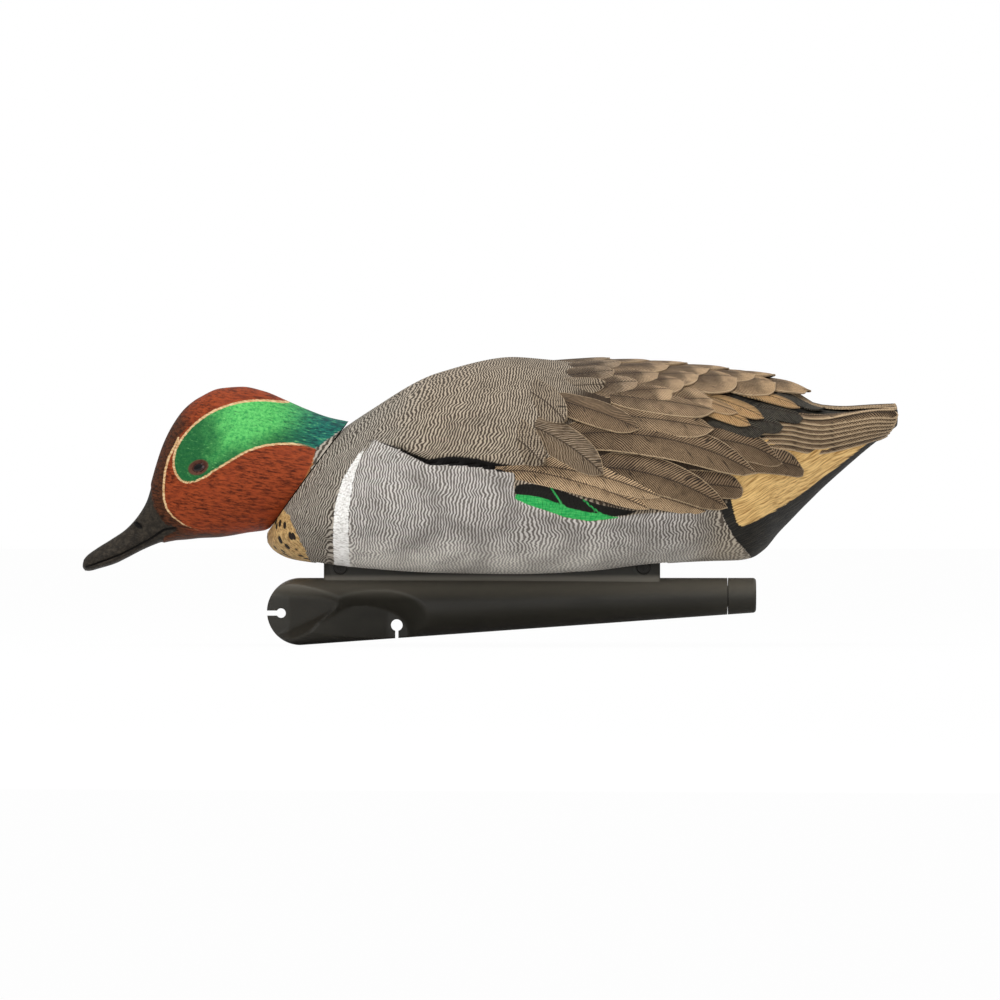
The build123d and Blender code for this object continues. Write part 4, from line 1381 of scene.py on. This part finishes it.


# %% [markdown]
# ## Feather paint
# One paint serves all feathers. Barbs run slantwise from the shaft to the rim, so their lines follow
# the distance along the shaft less a share of the distance from it. The shaft is a thin dark line,
# the rim is pale, and the middle is shaded. Painted shade darkens each feather where its neighbour
# covers it and toward its root. Each feather's own numbers turn it brown, tan, barred, black or buff.

# %% Mix the feather paint


def feather_paint():
    material, shader = new_material("feather_paint", 0.6)
    at = place()
    along, across, rim = mark("along"), mark("across"), mark("rim")
    tone, edge = mark("tone"), mark("edge")
    away = calc("ABSOLUTE", across)
    slant = calc("MULTIPLY_ADD", away, -1.05, along)
    slow = speckle(at, 7.0, 1.0)
    barbs = waves(shifted(slant, slow, 2.4), 1.05)
    barb_lines = soft(shifted(barbs, speckle(at, 1.1), 0.8), 0.3, 0.85)
    blotch = speckle(at, 5.0, 3.0)
    brown = coat(tone, colour(118, 95, 72), colour(226, 192, 151))
    deep = coat(tone, colour(42, 29, 18), colour(76, 54, 34))
    mixed = coat(times(barb_lines, 0.8), brown, deep)
    mixed = coat(times(soft(blotch, 0.5, 0.8), 0.5), mixed, deep)
    shade = times(soft(rim, 0.9, 3.2), soft(away, 3.6, 0.2))
    mixed = coat(times(shade, 0.35), mixed, deep)
    like_body = soft(mark("bars"), 0.7, 0.9)
    phase = calc("MULTIPLY_ADD", calc("SUBTRACT", mark("flow"), slant), like_body, slant)
    bars = wavy_bars(at, phase, FEATHER_BARS)
    pale = coat(tone, colour(134, 116, 94), colour(196, 180, 158))
    barred = coat(bars, pale, colour(62, 50, 38))
    mixed = coat(mark("bars"), mixed, barred)
    strokes = soft(shifted(barbs, speckle(at, 1.2), 1.2), 0.4, 0.9)
    buff = coat(strokes, colour(206, 166, 114), colour(118, 84, 50))
    black = coat(strokes, colour(16, 15, 13), colour(92, 86, 74))
    mixed = coat(mark("buff"), mixed, buff)
    mixed = coat(mark("black"), mixed, black)
    # Painted shade: darker where a neighbour covers the feather and toward its root, with the barbs showing
    # through.
    painted_shade = shifted(shifted(mark("painted_shade"), blotch, 0.4), barb_lines, 0.55)
    painted_shade = times(painted_shade, calc("SUBTRACT", 1.0, mark("black")))
    shadow = coat(barb_lines, deep, colour(24, 16, 9))
    mixed = coat(times(soft(painted_shade, 0.1, 1.0), 0.88), mixed, shadow)
    gaps = speckle(splits_place(slant, across), 1.0)
    splits = times(soft(gaps, 0.66, 0.71), 0.8)
    mixed = coat(splits, mixed, colour(30, 21, 14))
    shaft = soft(away, 0.45, 0.12)
    mixed = coat(times(shaft, 0.7), mixed, colour(40, 29, 20))
    frayed = shifted(rim, speckle(at, 1.3, 2.0), 0.8)
    reach = calc("MULTIPLY_ADD", edge, 0.3, 0.28)
    line = soft(frayed, reach, calc("SUBTRACT", reach, 0.3))
    share = calc("MINIMUM", edge, 1.0)
    mixed = coat(times(line, share), mixed, colour(198, 172, 138))
    grain = shifted(calc("SUBTRACT", 1.0, barbs), speckle(at, 0.6), 0.5)
    return painted(material, shader, mixed, calc("MULTIPLY_ADD", splits, -2.0, grain), 0.28, grain, 0.2)


def splits_place(slant, across):
    """Where barbs part, the gap runs along them: long down the slant and narrow across it."""
    return vector(times(slant, 0.62), times(across, 0.16))


# %% [markdown]
# ## Head paint
# Chestnut, with a bright green patch from the eye to the nape, edged in cream. The paint is stroked
# on with a dry brush along the feathers, so fine streaks run back from the bill. The green is darkest
# at the eye and turns blue at the nape. The bill and the front of the face are nearly black.

# %% Mix the head paint


def head_paint():
    material, shader = new_material("head_paint", 0.55, 0.12)
    at = place()
    x, z = along_and_up(at)
    strokes = speckle(stretched(at, (0.2, 0.35, 1.0), -0.15), 0.7, 3.0, 0.75)
    fine = speckle(at, 1.1, 3.0, 0.7)
    blotch = speckle(at, 7.0, 2.0)
    streaks = soft(strokes, 0.36, 0.68)
    chestnut = coat(streaks, colour(156, 68, 32), colour(70, 22, 4))
    ruddy = times(soft(blotch, 0.48, 0.70), 0.45)
    chestnut = coat(ruddy, chestnut, colour(146, 60, 30))
    face = coat(streaks, colour(88, 48, 26), colour(28, 12, 4))
    front = soft(shifted(x, blotch, 8.0), -108.0, -119.0)
    cheek = ragged("cheek", fine, 0.8, 0.15, -0.15)
    mixed = coat(cheek, coat(front, chestnut, face), chestnut)
    chin = times(soft(z, 4.2, 1.6), soft(x, -88.0, -104.0))
    mixed = coat(chin, mixed, face)
    mixed = coat(green_share(fine), mixed, green_colour(at, x, z, strokes, fine))
    cream_gap = shifted(mark("cream"), fine, 0.7)
    fade = soft(mark("line_way"), 1.0, 0.72)
    cream = times(soft(cream_gap, 0.55, 0.28), fade)
    cream = times(cream, soft(x, -66.0, -76.0))
    mixed = coat(cream, mixed, coat(streaks, colour(228, 198, 152), colour(178, 126, 76)))
    seam_gap = shifted(calc("ABSOLUTE", mark("collar")), fine, 0.9)
    seam = times(soft(seam_gap, 0.8, 0.2), soft(z, 33.0, 29.0))
    mixed = coat(times(seam, 0.6), mixed, colour(176, 124, 70))
    bars = wavy_bars(at, mark("flow"), COLLAR_BARS)
    collar = ragged("collar", strokes, 2.2, 0.25, -0.25)
    barred = coat(times(bars, 0.95), PALE_BREAST, DARK_BREAST)
    mixed = coat(collar, mixed, barred)
    mottle = speckle(at, 1.6, 4.0, 0.7)
    horn = coat(soft(mottle, 0.35, 0.75), colour(34, 30, 25), colour(64, 57, 48))
    # Painted shade: the mouth line is painted near black, for the shade in the groove between the mandibles.
    mouth_shade = soft(mark("mouth"), 0.65, 0.25)
    horn = coat(mouth_shade, horn, colour(14, 11, 9))
    horn = coat(soft(mark("nostril"), 1.0, 0.8), horn, colour(10, 8, 7))
    bill = ragged("bill", fine, 1.6, 0.4, -0.4)
    mixed = coat(bill, mixed, horn)
    rim = soft(mark("eye"), 1.36, 1.12)
    mixed = coat(rim, mixed, coat(fine, colour(112, 72, 56), colour(60, 36, 28)))
    return painted(material, shader, mixed, shifted(strokes, fine, 0.4), 0.34, strokes, 0.24)


def green_share(fine):
    return ragged("green", fine, 0.5, 0.15, -0.15)


def green_colour(at, x, z, strokes, fine):
    """Bright in the middle, dark at the eye, blue at the nape."""
    bright = coat(soft(fine, 0.38, 0.68), colour(98, 196, 102), colour(52, 152, 76))
    blotch = speckle(at, 6.0, 2.0)
    eye_end = soft(shifted(x, blotch, 12.0), -95.0, -110.0)
    height = calc("MULTIPLY_ADD", x, -0.35, z)
    low_end = soft(shifted(height, blotch, 10.0), 73.0, 62.0)
    dark = calc("MAXIMUM", eye_end, low_end)
    mixed = coat(times(dark, 0.85), bright, colour(4, 70, 38))
    nape = soft(shifted(x, strokes, 14.0), -84.0, -62.0)
    blue = coat(soft(strokes, 0.4, 0.65), colour(26, 112, 94), colour(2, 34, 54))
    mixed = coat(nape, mixed, blue)
    flecks = soft(strokes, 0.54, 0.70)
    mixed = coat(times(flecks, 0.6), mixed, colour(10, 76, 50))
    glints = soft(strokes, 0.42, 0.28)
    mixed = coat(times(glints, 0.4), mixed, colour(150, 226, 140))
    return mixed


# %% [markdown]
# ## Eyes, keel and small parts
# The eyes are black glass in a brown ring, under a clear coat. The keel is moulded in one dark olive
# plastic with a satin skin, slightly grained and scuffed paler in places, with painted light that
# makes a paler band along the top of its tube.

# %% Mix the other finishes


def eye_gloss():
    material, shader = new_material("eye_gloss", 0.18, 0.3)
    shader.inputs["Coat Weight"].default_value = 0.08
    shader.inputs["Coat Roughness"].default_value = 0.05
    ring = mark("from_pupil")
    iris = coat(speckle(place(), 0.5), colour(74, 36, 28), colour(40, 20, 16))
    mixed = coat(soft(ring, 0.62, 0.5), iris, colour(6, 5, 5))
    smears = speckle(place(), 1.5, 2.0)
    return painted(material, shader, mixed, smears, 0.01, smears, 0.08)


def keel_plastic():
    material, shader = new_material("keel_plastic", 0.46, 0.32)
    at = place()
    cloud = speckle(stretched(at, (0.3, 1.0, 1.0)), 6.0, 4.0, 0.6)
    mixed = coat(cloud, colour(34, 32, 26), colour(50, 47, 39))
    scuffs = soft(speckle(stretched(at, (0.12, 1.0, 1.0)), 1.0, 4.0, 0.75), 0.66, 0.8)
    mixed = coat(times(scuffs, 0.35), mixed, colour(84, 80, 70))
    z = along_and_up(at)[1]
    # Painted light: a paler band along the top of the tube, where light from above would fall on it.
    painted_top_light = times(soft(z, -23.0, -15.5), soft(z, -12.5, -14.5))
    mixed = coat(times(painted_top_light, 0.85), mixed, colour(118, 113, 102))
    return painted(material, shader, mixed, speckle(at, 0.45, 2.0), 0.04, cloud, 0.2)


def grained(name, base, other, size, roughness, metallic=0.0, depth=0.05):
    """A plain finish with two close colours and a fine grain."""
    material, shader = new_material(name, roughness)
    shader.inputs["Metallic"].default_value = metallic
    grain = speckle(place(), size, 3.0, 0.6)
    return painted(material, shader, coat(grain, base, other), grain, depth, grain, 0.2)


hull, feather_coat, head_coat = hull_paint(), feather_paint(), head_paint()
gloss, plastic = eye_gloss(), keel_plastic()
steel = grained("blacked_steel", colour(46, 44, 40), colour(30, 28, 25), 0.4, 0.4, 0.3, 0.02)
rubber = grained("plug_rubber", colour(30, 30, 30), colour(46, 46, 44), 0.8, 0.6)
sand = grained("dry_sand", colour(196, 168, 124), colour(132, 104, 70), 0.5, 0.9, 0.0, 0.3)
foam = grained("white_foam", colour(226, 226, 220), colour(196, 196, 188), 0.9, 0.8, 0.0, 0.2)

# %% [markdown]
# ## Hand out the finishes and set the pieces on their bodies
# The body, head, eyes and keel take the place of the working model's plain shells, and the rest of
# the working pieces stay and get a finish. Each new piece rides on the hull or the head, so it moves
# with them when the head turns.

# %% Dress and ride


def dress(piece, material):
    piece.data.materials.clear()
    piece.data.materials.append(material)


RIDERS = [
    # piece, finish, body, slot, replaced pieces
    (body, hull, "hull", "hull_paint", ["body_shell"]),
    (wing, feather_coat, "hull", "hull_paint", []),
    (coverts, feather_coat, "hull", "hull_paint", []),
    (rump, feather_coat, "hull", "hull_paint", []),
    (back, feather_coat, "hull", "hull_paint", []),
    (tail, feather_coat, "hull", "hull_paint", []),
    (head, head_coat, "head", "head_paint", ["head_shell"]),
    (left_eye, gloss, "head", "eye_gloss", ["left_eye"]),
    (right_eye, gloss, "head", "eye_gloss", ["right_eye"]),
    (keel, plastic, "hull", "keel_plastic", ["keel_shell"]),
    (sand_fill, sand, "hull", "sand", ["ballast_sand"]),
]
for piece, finish, rider_body, slot, replaced in RIDERS:
    dress(piece, finish)
    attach(piece, rider_body)
    if replaced:
        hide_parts(*replaced)
CARRIED = {
    "keel_end_plug": plastic, "keel_screws": steel, "hull_plug": rubber, "ballast_divider": foam
}
for name, finish in CARRIED.items():
    dress(frame["nodes"][name], finish)

# %% [markdown]
# ## Floor, light and camera
# A plain white studio: a pale floor just under the keel, a large soft light above, a broad fill
# from the front, and a level view of the bird's left side through a long lens.

# %% Set the studio
FLOOR_GAP = 0.3
FLOOR_Z = keel_low.z - FLOOR_GAP
clear_selection()
bpy.ops.mesh.primitive_plane_add(size=16, location=(0, 0, FLOOR_Z * MM))
floor = bpy.context.object
floor.name = "studio_floor"
floor_paint, floor_shader = new_material("studio_white", 0.9, 0.0)
floor_shader.inputs["Base Color"].default_value = (0.8, 0.8, 0.8, 1)
glow = tree.nodes.new("ShaderNodeEmission")
rays = tree.nodes.new("ShaderNodeLightPath")
blend = tree.nodes.new("ShaderNodeMixShader")
fill(blend.inputs[0], times(rays.outputs["Is Camera Ray"], 0.97))
tree.links.new(floor_shader.outputs[0], blend.inputs[1])
tree.links.new(glow.outputs[0], blend.inputs[2])
tree.links.new(blend.outputs[0], tree.nodes["Material Output"].inputs["Surface"])
dress(floor, floor_paint)


def soft_light(name, location, size, power, target=(0, 0, 0.01)):
    bpy.ops.object.light_add(type="AREA", location=location)
    light = bpy.context.object
    light.name = name
    light.data.size, light.data.energy = size, power
    direction = Vector(target) - Vector(location)
    light.rotation_euler = direction.to_track_quat("-Z", "Y").to_euler()
    return light


soft_light("sky_panel", (-0.25, -0.6, 1.2), 0.6, 10.8)
soft_light("front_panel", (-0.3, -1.9, 0.28), 1.0, 7.5)
world = bpy.data.worlds.new("studio")
bpy.context.scene.world = world
world.use_nodes = True
tree = world.node_tree
backdrop = tree.nodes["Background"]
_, up = along_and_up(tree.nodes.new("ShaderNodeTexCoord").outputs["Generated"])
rays = tree.nodes.new("ShaderNodeLightPath")
dome = calc("MULTIPLY_ADD", soft(up, -0.05, 0.9), 0.36, 0.37)
fill(backdrop.inputs["Strength"], calc("MAXIMUM", dome, rays.outputs["Is Camera Ray"]))
backdrop.inputs["Color"].default_value = (1, 1, 1, 1)

CAMERA_DISTANCE, FRAME_WIDTH = 4.0, 0.375
bpy.ops.object.camera_add(location=(0.003, -CAMERA_DISTANCE, 0.015), rotation=(math.pi / 2, 0, 0))
camera = bpy.context.object
camera.data.sensor_width = 36
camera.data.lens = 36 * CAMERA_DISTANCE / FRAME_WIDTH
camera.data.clip_end = 50
scene = bpy.context.scene
scene.camera = camera
scene.view_settings.view_transform = "Standard"
